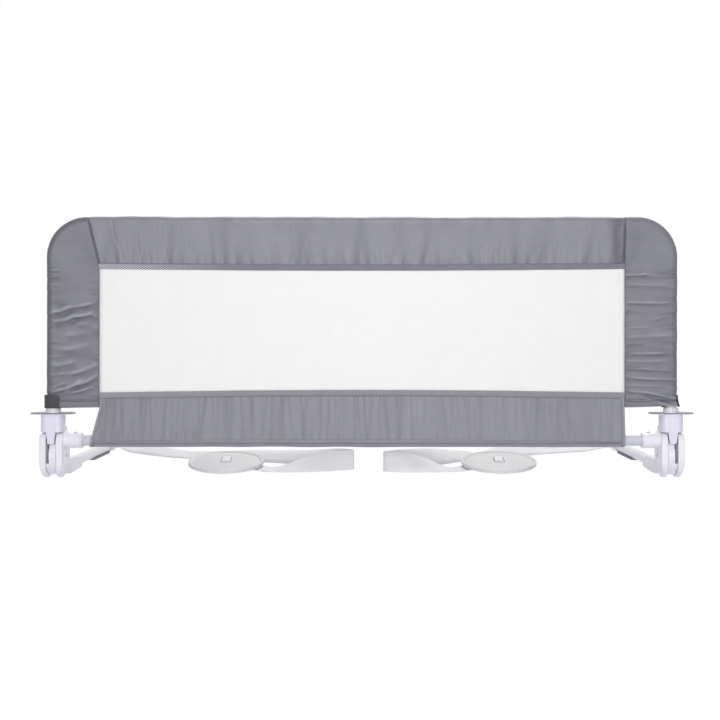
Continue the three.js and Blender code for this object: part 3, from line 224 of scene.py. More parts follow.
# the same again, folded double and pressed, so duller
hemCloth = wovenCloth("foldedHem", ("6c6c74", "75757d", "7f7f87"), 0.55, creased=True)
hemTape = wovenCloth("hemTape", ("85858e", "90909a", "9c9ca5"), 0.7, thread=1.0, depth=0.1)
# back of a hook tape: coarse and matt, charcoal
tabCloth = wovenCloth("hookTapeBacking", ("3e3f43", "4a4b4f", "57585c"), 0.85, thread=1.2, depth=0.2)
# spun thread: darker than the cloth, because each stitch lies in its own shade
sewingThread = wovenCloth("sewingThread", ("2c2c32", "36363c", "424248"), 0.7, thread=0.6, depth=0.05)
# polyester webbing: broad ribs, near white
webbing = wovenCloth("polyesterWebbing", ("f6f6f8", "fafafb", "fcfcfd"), 0.7, 0.4, thread=1.8, depth=0.3)

# the net's pitch in mm, as real 1.5 mm holes would not show, and where the dots of its raw edge thin out
knit = {"pitch": 3.4, "thread": 0.7, "edgePitch": 5.2, "thinFrom": -420, "thinTo": -220}


def knitted(name, settings):
    # a material with the two diagonals of its cloth, along which a knit's threads run
    material, tree, shader = newMaterial(name, settings)
    place = addNode(tree, "TexCoord")
    split = addNode(tree, "SeparateXYZ", [place.outputs["UV"]])
    ways = [addNode(tree, "Math", [split.outputs[0], split.outputs[1]], operation=operation)
            for operation in ("ADD", "SUBTRACT")]
    return material, tree, shader, place, split, ways


def netMaterial():
    # warp-knitted polyester net: thin white threads round small holes
    material, tree, shader, place, split, ways = knitted("knittedNet", {
        "Roughness": 0.6, "Sheen Weight": 0.2, "Base Color": "e7e7e6"})
    middles = spots(tree, ways, knit["pitch"], "COSINE")
    hole = addNode(tree, "Math", [middles, knit["thread"]], operation="GREATER_THAN")
    thread = addNode(tree, "Math", [1.0, hole], operation="SUBTRACT")
    setInputs(tree, shader, {"Alpha": thread})
    return material


def nettedBinding(name, dark, pale, leftShare, evenShare):
    # binding with the net's raw edge over it: pale dots on grey, closest together at the left end
    material, tree, shader, place, split, ways = knitted(name, {"Roughness": 0.7, "Sheen Weight": 0.2})
    dots = addNode(tree, "Math", [spots(tree, ways, knit["edgePitch"], "SINE"), 2.0], operation="POWER")
    strength = addNode(tree, "MapRange", {0: split.outputs[0], 1: knit["thinTo"] * mm, 2: knit["thinFrom"] * mm,
                                          3: evenShare, 4: evenShare + leftShare})
    blotch = addNode(tree, "TexNoise", {0: place.outputs["Object"], "Scale": 60.0, "Detail": 3.0})
    ground = addNode(tree, "Mix", {0: blotch, 6: dark, 7: pale}, data_type="RGBA")
    share = addNode(tree, "Math", [dots, strength], operation="MULTIPLY")
    tone = addNode(tree, "Mix", {0: share, 6: ground, 7: "f4f4f6"}, data_type="RGBA")
    setInputs(tree, shader, {"Base Color": tone})
    return material


netCloth = netMaterial()
topBindingCloth = nettedBinding("nettedBindingTop", "5a5a62", "717179", 0.85, 0.22)
lowBindingCloth = nettedBinding("nettedBindingLow", "66666e", "7a7a82", 0.1, 0.42)


def clouded(name, settings, low, high, cloud, grain=None, greyAbove=None):
    # two near tones in clouds of a scale and detail, and a grain of a scale, detail, strength and depth in mm
    material, tree, shader = newMaterial(name, settings)
    place = addNode(tree, "TexCoord").outputs["Object"]
    clouds = addNode(tree, "TexNoise", {0: place, "Scale": cloud[0], "Detail": cloud[1]})
    tone = addNode(tree, "Mix", {0: clouds, 6: low, 7: high}, data_type="RGBA")
    # painted shadow: faces above the given height turn grey, unless they face down
    if greyAbove:
        height = addNode(tree, "SeparateXYZ", {0: place}).outputs[2]
        above = addNode(tree, "Math", [height, greyAbove * mm], operation="GREATER_THAN")
        face = addNode(tree, "NewGeometry").outputs["True Normal"]
        upward = addNode(tree, "SeparateXYZ", [face]).outputs[2]
        notBelow = addNode(tree, "Math", [upward, -0.5], operation="GREATER_THAN")
        paintedShadow = addNode(tree, "Math", [above, notBelow], operation="MULTIPLY")
        tone = addNode(tree, "Mix", {0: paintedShadow, 6: tone, 7: "6e6e76"}, data_type="RGBA")
    setInputs(tree, shader, {"Base Color": tone})
    if grain:
        scale, detail, strength, depth = grain
        grains = addNode(tree, "TexNoise", {0: place, "Scale": scale, "Detail": detail})
        bump = addNode(tree, "Bump", {"Strength": strength, "Distance": depth * mm, "Height": grains})
        setInputs(tree, shader, {"Normal": bump})
    return material


# injection-moulded polypropylene: fine spark-eroded grain, satin; the collar's copy is painted darker and bluer
# as shade under the hem, and the upper face of its flange painted grey as the hem's shadow, but not its underside
moulded = {"Roughness": 0.3, "IOR": 1.49}
sparkGrain = (1400.0, 2.0, 0.25, 0.05)
whitePlastic = clouded("mouldedPolypropylene", moulded, "e2e1e9", "ecebf1", (24.0, 2.0), sparkGrain)
shadedCollarPlastic = clouded("mouldedPolypropyleneCollar", moulded, "d6d4e4", "e1dfed", (24.0, 2.0), sparkGrain, 112)
greyPlastic = clouded("mouldedGreyPolypropylene", {"Roughness": 0.6, "IOR": 1.49}, "dadada", "e2e2e2",
                      (24.0, 2.0), sparkGrain)
# powder coat on steel: faint orange peel, half gloss; the cross tube lies in the shade of the cover
coated = {"Roughness": 0.35, "Coat Weight": 0.2}
orangePeel = (700.0, 1.0, 0.2, 0.06)
powderCoat = clouded("whitePowderCoat", coated, "dedee7", "e8e8ef", (18.0, 2.0), orangePeel)
shadedCoat = clouded("whitePowderCoatShaded", coated, "c0c0cd", "cbcbd7", (18.0, 2.0), orangePeel)
# zinc-plated steel: cool grey, slightly streaked
zincSteel = clouded("zincPlatedSteel", {"Metallic": 1.0, "Roughness": 0.32}, "a9abb0", "c4c6ca", (260.0, 3.0))
# steel blackened with oxide: near black, with a slight oily gloss; the near black also paints the shade in the
# pin's hole
blackSteelAndHoleShade = clouded("blackOxideSteel", {"Metallic": 0.6, "Roughness": 0.5}, "303034", "45454a", (300.0, 2.0))
# moulded rubber: dull, with a dusty bloom
rubber = clouded("mouldedRubber", {"Roughness": 0.85}, "82828a", "95959c", (90.0, 4.0))
nodeFinish = {
    whitePlastic: "bracket_outer_shell bracket_inner_shell leg_hinge_body leg_end_cap",
    shadedCollarPlastic: "lock_collar", greyPlastic: "hinge_spacer collar_stop_ring", blackSteelAndHoleShade: "pivot_pin",
    rubber: "grip_strip",
    zincSteel: "bracket_screw_1 bracket_screw_2 return_spring top_button socket_button cross_tube_button",
    powderCoat: "leg_tube corner_tube top_middle_tube", shadedCoat: "cross_tube",
}
for finish, pieces in nodeFinish.items():
    for name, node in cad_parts.items():
        if name.replace("left_", "").replace("right_", "") in pieces.split():
            node.data.materials.clear()
            node.data.materials.append(finish)
print("materials made")

# a return spring shortens towards its stop ring as its collar is lifted; here each only gets a mesh of its own
ends = (("left", -1), ("right", 1))
for side, sign in ends:
    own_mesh(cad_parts[f"{side}_return_spring"])

# each strap lies where its solid is; its route is x, y, z in mm and the lean in degrees
strap = {
    "width": 36, "thickness": 1.6, "edge": 0.5, "lift": 0.3, "steps": 12, "columns": 7,
    "exit": (521.6, 460.7, 12.2), "pathStep": 4,
    "left": [
        (-520.8, 460.7, 11.9, 90), (-512, 460.6, 11.8, 90), (-500, 457, 11.2, 84), (-478, 440, 9, 72),
        (-443, 411, 9, 64), (-398, 366, 7.3, 70), (-357, 337, 6, 74), (-320, 320, 6.8, 70), (-281, 303, 8, 67),
        (-221, 268, 10.8, 57), (-180, 252, 11.4, 54), (-145, 234, 12.4, 50), (-90, 196, 15, 38),
        (-50, 160, 18, 16), (-26, 135, 19, 0), (-17, 124, 19, 0), (-17, 114, 19, 0), (-27, 106, 19, -3),
        (-50, 95, 18.6, -14), (-84, 82, 16.2, -34), (-116, 77, 11.6, -56), (-146, 83, 6.2, -75),
    ],
    "right": [
        (520.8, 460.7, 11.9, 90), (512, 460.8, 11.8, 90), (500, 461.4, 11, 86), (470, 461, 7.6, 78),
        (424, 452, 5.8, 76), (379, 425, 5.8, 77), (321, 388, 9.4, 62), (282, 380, 8.6, 66), (246, 352, 4.4, 82),
        (216, 322, 7.4, 70), (190, 284, 10, 60), (154, 222, 14.6, 40), (108, 164, 17.6, 20), (70, 125, 19, 4),
        (47, 102, 19, 0), (39, 90, 19, 0), (41, 80, 19, 0), (53, 74, 19, -3), (80, 70, 18, -18),
        (112, 71, 14, -46), (142, 80, 7.8, -70),
    ],
    "underDisc": [(168, 92, 3.4, -84), (186, 101.5, 4.4, -84), (205, 112, 8.4, -82), (223, 118.4, 11.9, -80.5),
                  (236, 119.6, 13.2, -80.5), (242.2, 119.6, 13.6, -80.5)],
}


def between(t, low, high, p, q):
    return (high - t) / (high - low) * p + (t - low) / (high - low) * q


def splineThrough(points, steps):
    # centripetal Catmull-Rom, as a smooth run through every point
    p = np.array(points, float)
    p = np.vstack([2 * p[0] - p[1], p, 2 * p[-1] - p[-2]])
    out = []
    for i in range(1, len(p) - 2):
        knots = [0.0]
        for k in range(3):
            knots.append(knots[-1] + np.linalg.norm(p[i + k][:3] - p[i + k - 1][:3]) ** 0.5)
        for step in range(steps):
            t = knots[1] + (knots[2] - knots[1]) * step / steps
            a = [between(t, knots[k], knots[k + 1], p[i + k - 1], p[i + k]) for k in range(3)]
            b = [between(t, knots[k], knots[k + 2], a[k], a[k + 1]) for k in range(2)]
            out.append(between(t, knots[1], knots[2], b[0], b[1]))
    out.append(p[-2])
    return np.array(out)


def settle(piece, body, node=None):
    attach(piece, body)
    if node:
        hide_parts(node)


def makeStrap(side, sign):
    route = strap[side] + [(sign * x, *rest) for x, *rest in strap["underDisc"]]
    path = splineThrough(route, strap["steps"])
    centres = path[:, :3] + toRail + np.array([0, 0, strap["lift"]])
    w, t, edge = strap["width"] / 2, strap["thickness"] / 2, strap["edge"]
    under = [(-w + edge, -t), (-w / 3, -t), (w / 3, -t), (w - edge, -t), (w, 0)]
    outline = under + [(-a, -b) for a, b in under]
    points, uvs = [], []
    run = runAlong(centres)
    for i, centre in enumerate(centres):
        ahead = unit(centres[min(i + 1, len(centres) - 1)] - centres[max(i - 1, 0)])
        beside = unit(np.array([ahead[1], -ahead[0], 0]) * sign)
        lean = radians(max(-90, min(90, path[i, 3])))
        across = np.array([0, 0, 1]) * cos(lean) + beside * sin(lean)
        across = unit(across - ahead * across.dot(ahead))
        through = np.cross(ahead, across)
        for a, b in outline:
            points.append(centre + across * a + through * b)
            uvs.append((run[i] * mm, a * mm))
    piece = newObject(f"{side}AnchorStrap", points, tubeFaces(len(centres), len(outline)), webbing, uvs)
    editMesh(piece)
    settle(piece, f"{side}_leg", f"{side}_strap")
    return piece, centres, run[-1]


def makeBand(name, path, low, high, thickness, material, toWorld):
    # a band of tape: a flat path swept from low to high, given a wall
    points, uvs = [], []
    run = runAlong(np.array(path, float))
    for i, (a, b) in enumerate(path):
        for c in np.linspace(low, high, strap["columns"]):
            points.append(toWorld(a, b, c))
            uvs.append((run[i] * mm, c * mm))
    piece = newObject(name, points, gridFaces(len(path), strap["columns"]), material, uvs)
    solidify(piece, thickness, 0)
    return piece


def roundPoint(radius, angle):
    return radius * cos(radians(angle)), radius * sin(radians(angle))


# sewn loop round the leg's tube; its tail lies a little lower than the tube's axis
loop = {"innerRadius": 9.8, "clearance": 0.05, "thinner": 0.1, "tail": (6, -1.2), "tailRoot": (2, -1.1),
        "open": 178, "step": 8, "low": 442.7, "high": 478.7, "axisZ": 13, "legX": 539}


def makeLoop(side, sign):
    middle = loop["innerRadius"] + strap["thickness"] / 2 + loop["clearance"]
    path = [(-middle - out, low) for out, low in (loop["tail"], loop["tailRoot"])]
    path += [roundPoint(middle, a) for a in range(-loop["open"], loop["open"] + 1, loop["step"])]
    wall = strap["thickness"] - loop["thinner"]
    piece = makeBand(f"{side}StrapLoop", path, loop["low"], loop["high"], wall, webbing,
                     lambda a, b, c: (sign * (loop["legX"] + a), railY + c, loop["axisZ"] + b))
    settle(piece, f"{side}_leg", f"{side}_strap_loop")
    return piece


# domed disc with a raised rim and two slots for the strap
disc = {"radius": 69, "thickness": 4, "rim": 2.2, "rimWidth": 5, "crown": 4, "lift": 0.3, "steps": 96,
        "merge": 0.03, "slotWidth": 4.5, "slotLength": 38, "slotSpacing": 15, "slotZ": 4, "slotDepth": 30,
        "slotRound": 1.5, "sharpAngle": 35, "tilt": radians(9.5), "x": 251, "y": 120}
bight = {"overDisc": 1.1, "underCrown": 2.5, "bend": 2.2, "start": 2.6, "step": 18}


def discPlace(sign):
    lift = disc["radius"] * sin(disc["tilt"]) + disc["lift"]
    return (Matrix.Translation(Vector((sign * disc["x"], railY + disc["y"], lift)) * mm)
            @ Matrix.Rotation(disc["tilt"], 4, "X"))


def makeDisc(side, sign):
    r, t, c = disc["radius"], disc["thickness"], disc["crown"]
    inner, top = r - disc["rimWidth"], t + disc["rim"]
    well = inner - disc["rimWidth"] / 2
    # its half section, as radius and height, from the middle of the underside to the middle of the top
    profile = [(0.01, c), (r * 0.25, c * 0.94), (r / 2, c * 0.75), (r * 0.75, c * 0.38), (inner, 0), (r - 0.8, 0),
               (r, 0.8), (r, top - 1), (r - 0.6, top - 0.2), (r - 1.6, top), (inner + 1.2, top),
               (inner + 0.3, top - 0.5), (well, t), (well - 1.5, t + 0.3), (r * 0.72, t + c * 0.42),
               (r * 0.5, t + c * 0.75), (r * 0.25, t + c * 0.94), (0.01, t + c)]
    piece = newObject(f"{side}AnchorDisc", [(a, 0, b) for a, b in profile], [], greyPlastic,
                      edges=[(i, i + 1) for i in range(len(profile) - 1)])
    mesh = piece.data
    editMesh(piece, ("spin", {"steps": disc["steps"], "angle": 2 * pi, "center": (0, 0, 0), "axis": (0, 0, 1),
                              "use_auto_merge": True}), ("remove_doubles", {"threshold": disc["merge"] * mm}))
    for middle in (-disc["slotSpacing"] / 2, disc["slotSpacing"] / 2):
        bpy.ops.mesh.primitive_cube_add(size=1, location=(middle * mm, 0, disc["slotZ"] * mm))
        cutter = bpy.context.active_object
        cutter.scale = (disc["slotWidth"] * mm, disc["slotLength"] * mm, disc["slotDepth"] * mm)
        bpy.ops.object.transform_apply(location=True, rotation=True, scale=True)
        modify(cutter, "BEVEL", width=disc["slotRound"] * mm, segments=3)
        modify(piece, "BOOLEAN", operation="DIFFERENCE", object=cutter)
        bpy.data.objects.remove(cutter)
    mesh.materials.clear()
    mesh.materials.append(greyPlastic)
    mesh.transform(discPlace(sign))
    mesh.polygons.foreach_set("material_index", [0] * len(mesh.polygons))
    onlySelect(piece)
    bpy.ops.object.shade_smooth_by_angle(angle=radians(disc["sharpAngle"]))
    settle(piece, f"{side}_leg", f"{side}_anchor_disc")
    return piece


def makeBight(side, sign):
    # the strap's turn over the bar between the slots
    half = disc["slotSpacing"] / 2
    top = disc["thickness"] + disc["crown"] + bight["overDisc"]
    path = [(-half, disc["crown"] - bight["underCrown"]), (-half, top - bight["start"])]
    for angle in range(0, 91, bight["step"]):
        a, b = roundPoint(bight["bend"], angle)
        path.append((-half + bight["bend"] - a, top - bight["bend"] + b))
    path += [(-x, z) for x, z in reversed(path)]
    place = discPlace(sign)
    edge = strap["width"] / 2
    piece = makeBand(f"{side}StrapBight", path, -edge, edge, strap["thickness"], webbing,
                     lambda a, b, c: tuple(place @ (Vector((a, c, b)) * mm) / mm))
    settle(piece, f"{side}_leg", f"{side}_strap_bight")
    return piece


for side, sign in ends:
    strapPiece, centreLine, strapLength = makeStrap(side, sign)
    onStrap = [makeLoop(side, sign), makeDisc(side, sign), makeBight(side, sign)]
    print(side, "strap", round(strapLength), "mm")

# cover: four sewn panels round the tubes; sizes in mm, and counts of points
cover = {"span": 1100, "height": 455, "sleeve": 11, "bend": 60, "hem": 122, "windowX": 458, "windowTop": 366,
         "windowBottom": 148, "bow": (3, 4.5), "binding": 8, "crossZ": 64.6, "wall": 0.6, "seamHalf": 0.8,
         "topLean": 19, "hemLean": 17, "front": 38, "round": 16, "back": 16, "fine": 240, "tubeRadius": 9.5,
         "clearance": 0.1, "roundRoom": 0.8, "leastRoom": 0.05, "reliefDepth": 1.5}
windowX, windowTop, hemZ, coverTop, sleeve, bend = (
    cover[key] for key in ("windowX", "windowTop", "hem", "height", "sleeve", "bend"))
uprightX = cover["span"] / 2 - sleeve
topTubeZ = coverTop - sleeve
coverBottom = cover["crossZ"] - sleeve
panelDepth = uprightX - windowX


def beyondFrame(x, z):
    # how far a point lies outside the line of the tubes' axes
    across = np.abs(x) - uprightX + bend
    up = z - topTubeZ + bend
    corner = np.hypot(np.maximum(across, 0), np.maximum(up, 0))
    reach = np.where((across > 0) & (up > 0), corner, np.maximum(across, up))
    return reach - bend


def windowEdge(x, top):
    bow = cover["bow"][0 if top else 1] * np.cos(np.pi * np.clip(x / windowX, -1, 1) / 2)
    return windowTop - 1.5 - bow if top else cover["windowBottom"] + bow


def topSeamX(z, lean):
    return windowX + lean * np.maximum(0, z - windowTop) / (coverTop - windowTop)


def hemSeamX(z, lean):
    return windowX - 0.3 + lean * np.maximum(0, (hemZ - z) / (hemZ - coverBottom))


def pucker(u, v, pitch, depth, reach, seed, width, lean):
    # short creases that start at a seam (v = 0) and die away from it
    draw = random.Random(seed)
    out = np.zeros(np.broadcast(u, v).shape)
    at = float(np.min(u))
    end = float(np.max(u))
    while at < end:
        at += pitch * draw.uniform(0.55, 1.45)
        size = draw.uniform(0.15, 1.0) ** 1.4
        length = reach * draw.uniform(0.5, 1.6)
        slant = draw.uniform(-lean, lean)
        spread = pitch * width * draw.uniform(0.7, 1.3)
        out -= size * np.exp(-(((u - at - slant * v) / (spread * (1 + v / length))) ** 2)) * np.exp(-v / length)
    return out * depth


def puckers(u, v, rows, seed):
    return sum(pucker(u, v, pitch, depth, reach, seed + more, width, lean)
               for pitch, depth, reach, more, width, lean in rows)


def groove(away, depth, width):
    return -depth * np.exp(-((away / width) ** 2))


def fold(x, z, a, b, size, width, bend=0.06):
    # a ridge from a to b, crisp above and soft below, that swells and thins along its run
    run = np.array(b, float) - np.array(a, float)
    length = np.hypot(*run)
    run /= length
    share = ((x - a[0]) * run[0] + (z - a[1]) * run[1]) / length
    off = -(x - a[0]) * run[1] + (z - a[1]) * run[0] + bend * length * np.sin(np.pi * np.clip(share, 0, 1))
    fade = smooth((share + 0.25) / 0.5) * smooth((1.25 - share) / 0.5) * (0.8 + 0.2 * np.sin(share * 9 + a[1]))
    thin = width * (0.45 + 0.25 * np.abs(share - 0.4))
    ridge = np.where(off > 0, np.exp(-((off / (1.5 * thin)) ** 2)), np.exp(-((off / thin) ** 2)))
    valley = np.exp(-(((off + 2.4 * thin) / (1.5 * thin)) ** 2))
    return size * (ridge - 0.75 * valley) * fade


def swell(x, z, size, seed):
    # broad, shallow waves
    draw = random.Random(seed)
    waves = 7
    out = 0
    for _ in range(waves):
        angle = draw.uniform(0, pi)
        wave = draw.uniform(35, 130)
        out = out + np.sin(2 * pi * (x * cos(angle) + z * sin(angle)) / wave + draw.uniform(0, 6.3))
    return out * size / waves


def panelPoints(panel, stations, lift=0.0, crossRange=None):
    # rows of points from the front seam, round the tube, to the back seam; inner is the way to the nearer one
    fine = np.linspace(0, 1, cover["fine"])
    rows, rooms = [], []
    for s in stations:
        beyond = panel["beyond"](*panel["place"](s, fine))[::-1]
        atTube = np.interp(0, beyond, fine[::-1])
        front, back = (1 - (1 - atTube) * np.linspace(0, 1, cover[part]) for part in ("front", "back"))
        phi = np.linspace(0, pi, cover["round"])[1:-1]
        roundW = np.interp(sleeve * np.sin(phi), beyond, fine[::-1])
        x, z = panel["place"](s, np.concatenate([front, roundW, back[::-1]]))
        d = panel["beyond"](x, z)
        taut = cover["seamHalf"] + (sleeve - cover["seamHalf"]) * np.maximum(0, 1 + d / panelDepth)
        half = np.where(d > 0, np.sqrt(np.maximum(sleeve ** 2 - d * d, 0)), taut)
        side = np.concatenate([-np.ones(cover["front"]), -np.cos(phi), np.ones(cover["back"])])
        onRound = np.abs(side) < 1
        half = np.where(onRound, sleeve * np.abs(side), half)
        rows.append(np.stack([x, np.sign(side) * half, z], axis=1))
        # how far the cloth may dip before it meets the tube or its other layer
        tube = np.sqrt(np.maximum((cover["tubeRadius"] + cover["clearance"]) ** 2 - d * d, 0))
        room = np.maximum(half - tube - cover["wall"] - cover["clearance"], cover["leastRoom"])
        rooms.append(np.where(onRound, cover["roundRoom"], room))
    grid = np.array(rows)
    steps = [np.linalg.norm(np.diff(grid, axis=axis), axis=2) for axis in (0, 1)]
    along = np.concatenate([np.zeros((1, grid.shape[1])), np.cumsum(steps[0], axis=0)], axis=0)
    across = np.concatenate([np.zeros((len(grid), 1)), np.cumsum(steps[1], axis=1)], axis=1)
    normal = np.cross(np.gradient(grid, axis=0), np.gradient(grid, axis=1))
    normal /= np.maximum(np.linalg.norm(normal, axis=2, keepdims=True), 1e-9)
    if normal[len(grid) // 2, 2, 1] > 0:
        normal = -normal
    x, z = grid[:, :, 0], grid[:, :, 2]
    front = np.arange(grid.shape[1])[None, :] < cover["front"] + cover["round"] // 2 - 1
    sharp, broad = panel["detail"](x, z, np.minimum(across, across[:, -1:] - across), front)
    # painted fold light for the cloth's material, from the folds' height: low in creases, high on ridges
    relief = 0.5 + 0.5 * np.tanh(sharp / cover["reliefDepth"])
    detail = sharp + broad
    if "edgeShade" in panel:
        # painted shade along the outer tube; the same band holds the cloth's edge nearly straight except at the
        # hem
        width, shade = panel["edgeShade"]
        reach = panel["beyond"](x, z)
        relief = relief * (1 - shade * smooth((reach - sleeve + width) / (0.8 * width)))
        held = smooth((reach - 4) / 6) * smooth((z - hemZ - 20) / 10)
        detail = detail * (1 - 0.7 * held)
    detail = np.maximum(detail, -np.array(rooms))
    grid = grid + normal * (detail + lift)[:, :, None]
    low, high = crossRange or (0, grid.shape[1])
    return [rows[:, low:high] for rows in (grid, along, across, relief, normal)]


def makeSheet(name, panel, stations, material, wall, lift=0.0, crossRange=None):
    grid, along, across, relief, normal = panelPoints(panel, stations, lift, crossRange)
    rows, columns = grid.shape[:2]
    points = grid.reshape(-1, 3) + toRail
    uvs = np.stack([along.reshape(-1), across.reshape(-1)], axis=1) * mm
    faces = gridFaces(rows, columns)
    a, b, c = (points[i] for i in faces[(rows // 2) * (columns - 1) + 2][:3])
    if np.cross(b - a, c - a)[1] > 0:
        faces = [f[::-1] for f in faces]
    piece = newObject(name, points, faces, material, [tuple(uv) for uv in uvs])
    # the painted fold light goes to the material as a point attribute
    piece.data.attributes.new("relief", "FLOAT", "POINT").data.foreach_set("value", relief.reshape(-1))
    solidify(piece, wall)
    return piece, grid, normal


# folds of the side panels: from, to (x, z as seen), height and width
sideFolds = {
    "left": [
        ((-552, 362), (-526, 363), 1.3, 3), ((-552, 350), (-530, 351), 1.2, 3),
        ((-548, 338), (-530, 337), 0.7, 3), ((-546, 288), (-510, 296), 2.3, 6.5),
        ((-514, 297), (-468, 306), 1.9, 5), ((-536, 272), (-500, 281), 1.6, 6),
        ((-508, 281), (-474, 286), 2.4, 5), ((-500, 268), (-476, 272), 0.9, 7),
        ((-520, 250), (-484, 255), 0.7, 9), ((-530, 224), (-480, 232), 0.9, 9),
        ((-546, 210), (-520, 214), 0.8, 4), ((-538, 196), (-500, 204), 0.9, 7),
        ((-520, 180), (-466, 196), 1.5, 6), ((-540, 178), (-516, 184), 0.9, 4),
        ((-530, 152), (-490, 168), 2.3, 5), ((-498, 160), (-464, 178), 2.2, 4.5),
        ((-512, 148), (-472, 158), 1.6, 4), ((-538, 158), (-518, 166), 1.2, 3.5),
        ((-528, 142), (-508, 156), 1.2, 3),
    ],
    "right": [
        ((460, 353), (500, 355), 2.0, 4.5), ((496, 352), (542, 352), 1.0, 5), ((462, 338), (530, 335), 0.9, 6),
        ((460, 306), (508, 305), 2.1, 4.5), ((500, 304), (540, 306), 1.3, 6), ((462, 292), (496, 291), 0.7, 5),
        ((508, 276), (534, 284), 0.9, 6), ((462, 262), (500, 263), 0.8, 5), ((464, 246), (538, 249), 0.9, 8),
        ((460, 234), (490, 233), 0.8, 4), ((464, 216), (540, 218), 2.0, 5), ((464, 203), (536, 204), 0.9, 5),
        ((462, 190), (500, 189), 1.4, 4), ((494, 189), (542, 187), 1.0, 5), ((464, 174), (544, 172), 1.7, 5),
        ((464, 161), (520, 160), 0.8, 4), ((464, 151), (500, 148), 1.6, 4.5),
        ((494, 149), (548, 138), 2.0, 4.5), ((498, 141), (546, 128), -2.4, 5),
    ],
}
# hemRise is at the window and at the outer edge, edgeShade the width and depth of the band of painted shade along
# the tube
sideCut = {
    "left": {"sign": -1, "seed": 11, "lean": cover["topLean"], "gather": 1.35, "bend": 0.05, "width": 0.9,
             "flare": 0, "hemRise": (0.4, 0), "edgeShade": (14, 0.95)},
    "right": {"sign": 1, "seed": 21, "lean": 0, "gather": 0.95, "bend": 0.012, "width": 0.68,
              "flare": 3.2, "hemRise": (0.4, 3.0), "edgeShade": (5, 0.8)},
}
backShare = 0.4  # of a side panel's folds, on its back
# rows of puckers: pitch, depth, reach, more to the seed, width and lean
sidePuckers = {"seam": [(5.5, 1.7, 8, 0, 0.2, 0.25), (19, 1.7, 20, 5, 0.15, 0.25)],
               "edge": [(5.5, 2.4, 12, 1, 0.22, 0.25), (21, 2.0, 26, 6, 0.16, 0.25)]}
topPuckers = {"seed": 31, "seam": [(7, 0.8, 13, 0, 0.2, 0.25), (26, 1.2, 30, 3, 0.14, 0.25)],
              "rim": [(30, 0.7, 15, 1, 0.2, 0.25)]}
lowPuckers = {"seed": 41, "seam": [(8.5, 0.9, 70, 0, 0.26, 0.12), (31, 0.8, 60, 3, 0.2, 0.16)],
              "rim": [(9, 0.9, 12, 1, 0.22, 0.1)]}
girth = {"side": 92, "top": 88, "bottom": 92}  # along the cloth, from a panel's seam to its outer edge
longCut = {"topDepth": 1.1, "bottomDepth": 0.85, "creaseHeight": 0.4, "creaseWidth": 0.85, "calm": 0.35,
           "hemLine": 13.5, "channelSeam": 16, "dip": 1.6, "dipX": 446}


def sideDetail(cut, folds):
    def detail(x, z, inner, front):
        edge = np.abs(inner - girth["side"])
        below = smooth((coverTop - 70 - z) / 40)
        out = puckers(z, inner, sidePuckers["seam"], cut["seed"]) * smooth(inner / 2.5)
        out = out + puckers(z, edge, sidePuckers["edge"], cut["seed"]) * below
        drawn = sum(fold(x, z, a, b, size, cut["width"] * wide, cut["bend"]) for a, b, size, wide in folds)
        drawn = drawn * cut["gather"]
        out = out + np.where(front, drawn, backShare * drawn) * smooth(inner / 4)
        aboveHem = z - hemZ
        out = out + groove(aboveHem - longCut["hemLine"], 0.9, 1.3) + groove(aboveHem, 0.6, 1.2)
        out = out + cut["flare"] * (1 - smooth(aboveHem / 20)) * (1 - smooth(edge / 16))
        dip = groove(np.abs(x) - topSeamX(z, cut["lean"]), 1.6, 2.2) * smooth((z - windowTop + 4) / 8)
        return out + dip, swell(x, z, 1.6, cut["seed"] + 2) * smooth(inner / 16)
    return detail


def sidePanel(side):
    cut = sideCut[side]
    straightTop = topTubeZ - bend
    seamTop = topSeamX(coverTop, cut["lean"]) + 0.1
    centreX = uprightX - bend
    outer = bend + sleeve
    end = acos(max(0, (seamTop - centreX) / outer))
    # the outer edge as a run of points with even steps
    edge = [(uprightX + sleeve, z) for z in np.linspace(hemZ, straightTop, 90, endpoint=False)]
    edge += [(centreX + outer * cos(a), straightTop + outer * sin(a))
             for a in np.linspace(0, end, 50, endpoint=False)]
    edge += [(x, coverTop) for x in np.linspace(centreX + outer * cos(end), seamTop, 8)]
    edge = np.array(edge)
    run = runAlong(edge)
    total = run[-1]

    def place(s, w):
        outerX, outerZ = (np.interp(s * total, run, edge[:, k]) for k in (0, 1))
        share = np.interp(s, [0, 0.6, 0.82, 1], [0, 0.84, 0.97, 1])
        innerZ = hemZ + (windowTop - hemZ) * share
        x = outerX + (windowX + 0.1 - outerX) * w
        z = outerZ + (innerZ - outerZ) * w
        atWindow, atEdge = cut["hemRise"]
        rise = atWindow + (atEdge - atWindow) * smooth((x - windowX) / 80)
        return cut["sign"] * x, z + rise * (1 - smooth(s * total / 18))
    return {"place": place, "beyond": beyondFrame, "length": total, "edgeShade": cut["edgeShade"],
            "detail": sideDetail(cut, sideFolds[side])}


# creases of the top panel: from, to, height and width
topCreases = [
    ((-433, 452), (-424, 404), 1.3, 2.4), ((-420, 404), (-415, 378), 1.2, 2.6),
    ((-391, 420), (-383, 376), 1.4, 2.6), ((-372, 404), (-368, 376), 1.3, 2.4),
    ((-359, 400), (-357, 376), 0.9, 2.2), ((-340, 396), (-338, 376), 0.7, 3),
    ((222, 404), (220, 376), 1.0, 2.4), ((240, 410), (238, 376), 1.2, 2.4), ((262, 400), (258, 376), 0.8, 2.2),
    ((313, 398), (310, 376), 1.0, 2.4), ((386, 396), (384, 376), 0.9, 3), ((-120, 400), (-124, 376), 0.6, 4),
    ((40, 404), (44, 376), 0.6, 5),
]


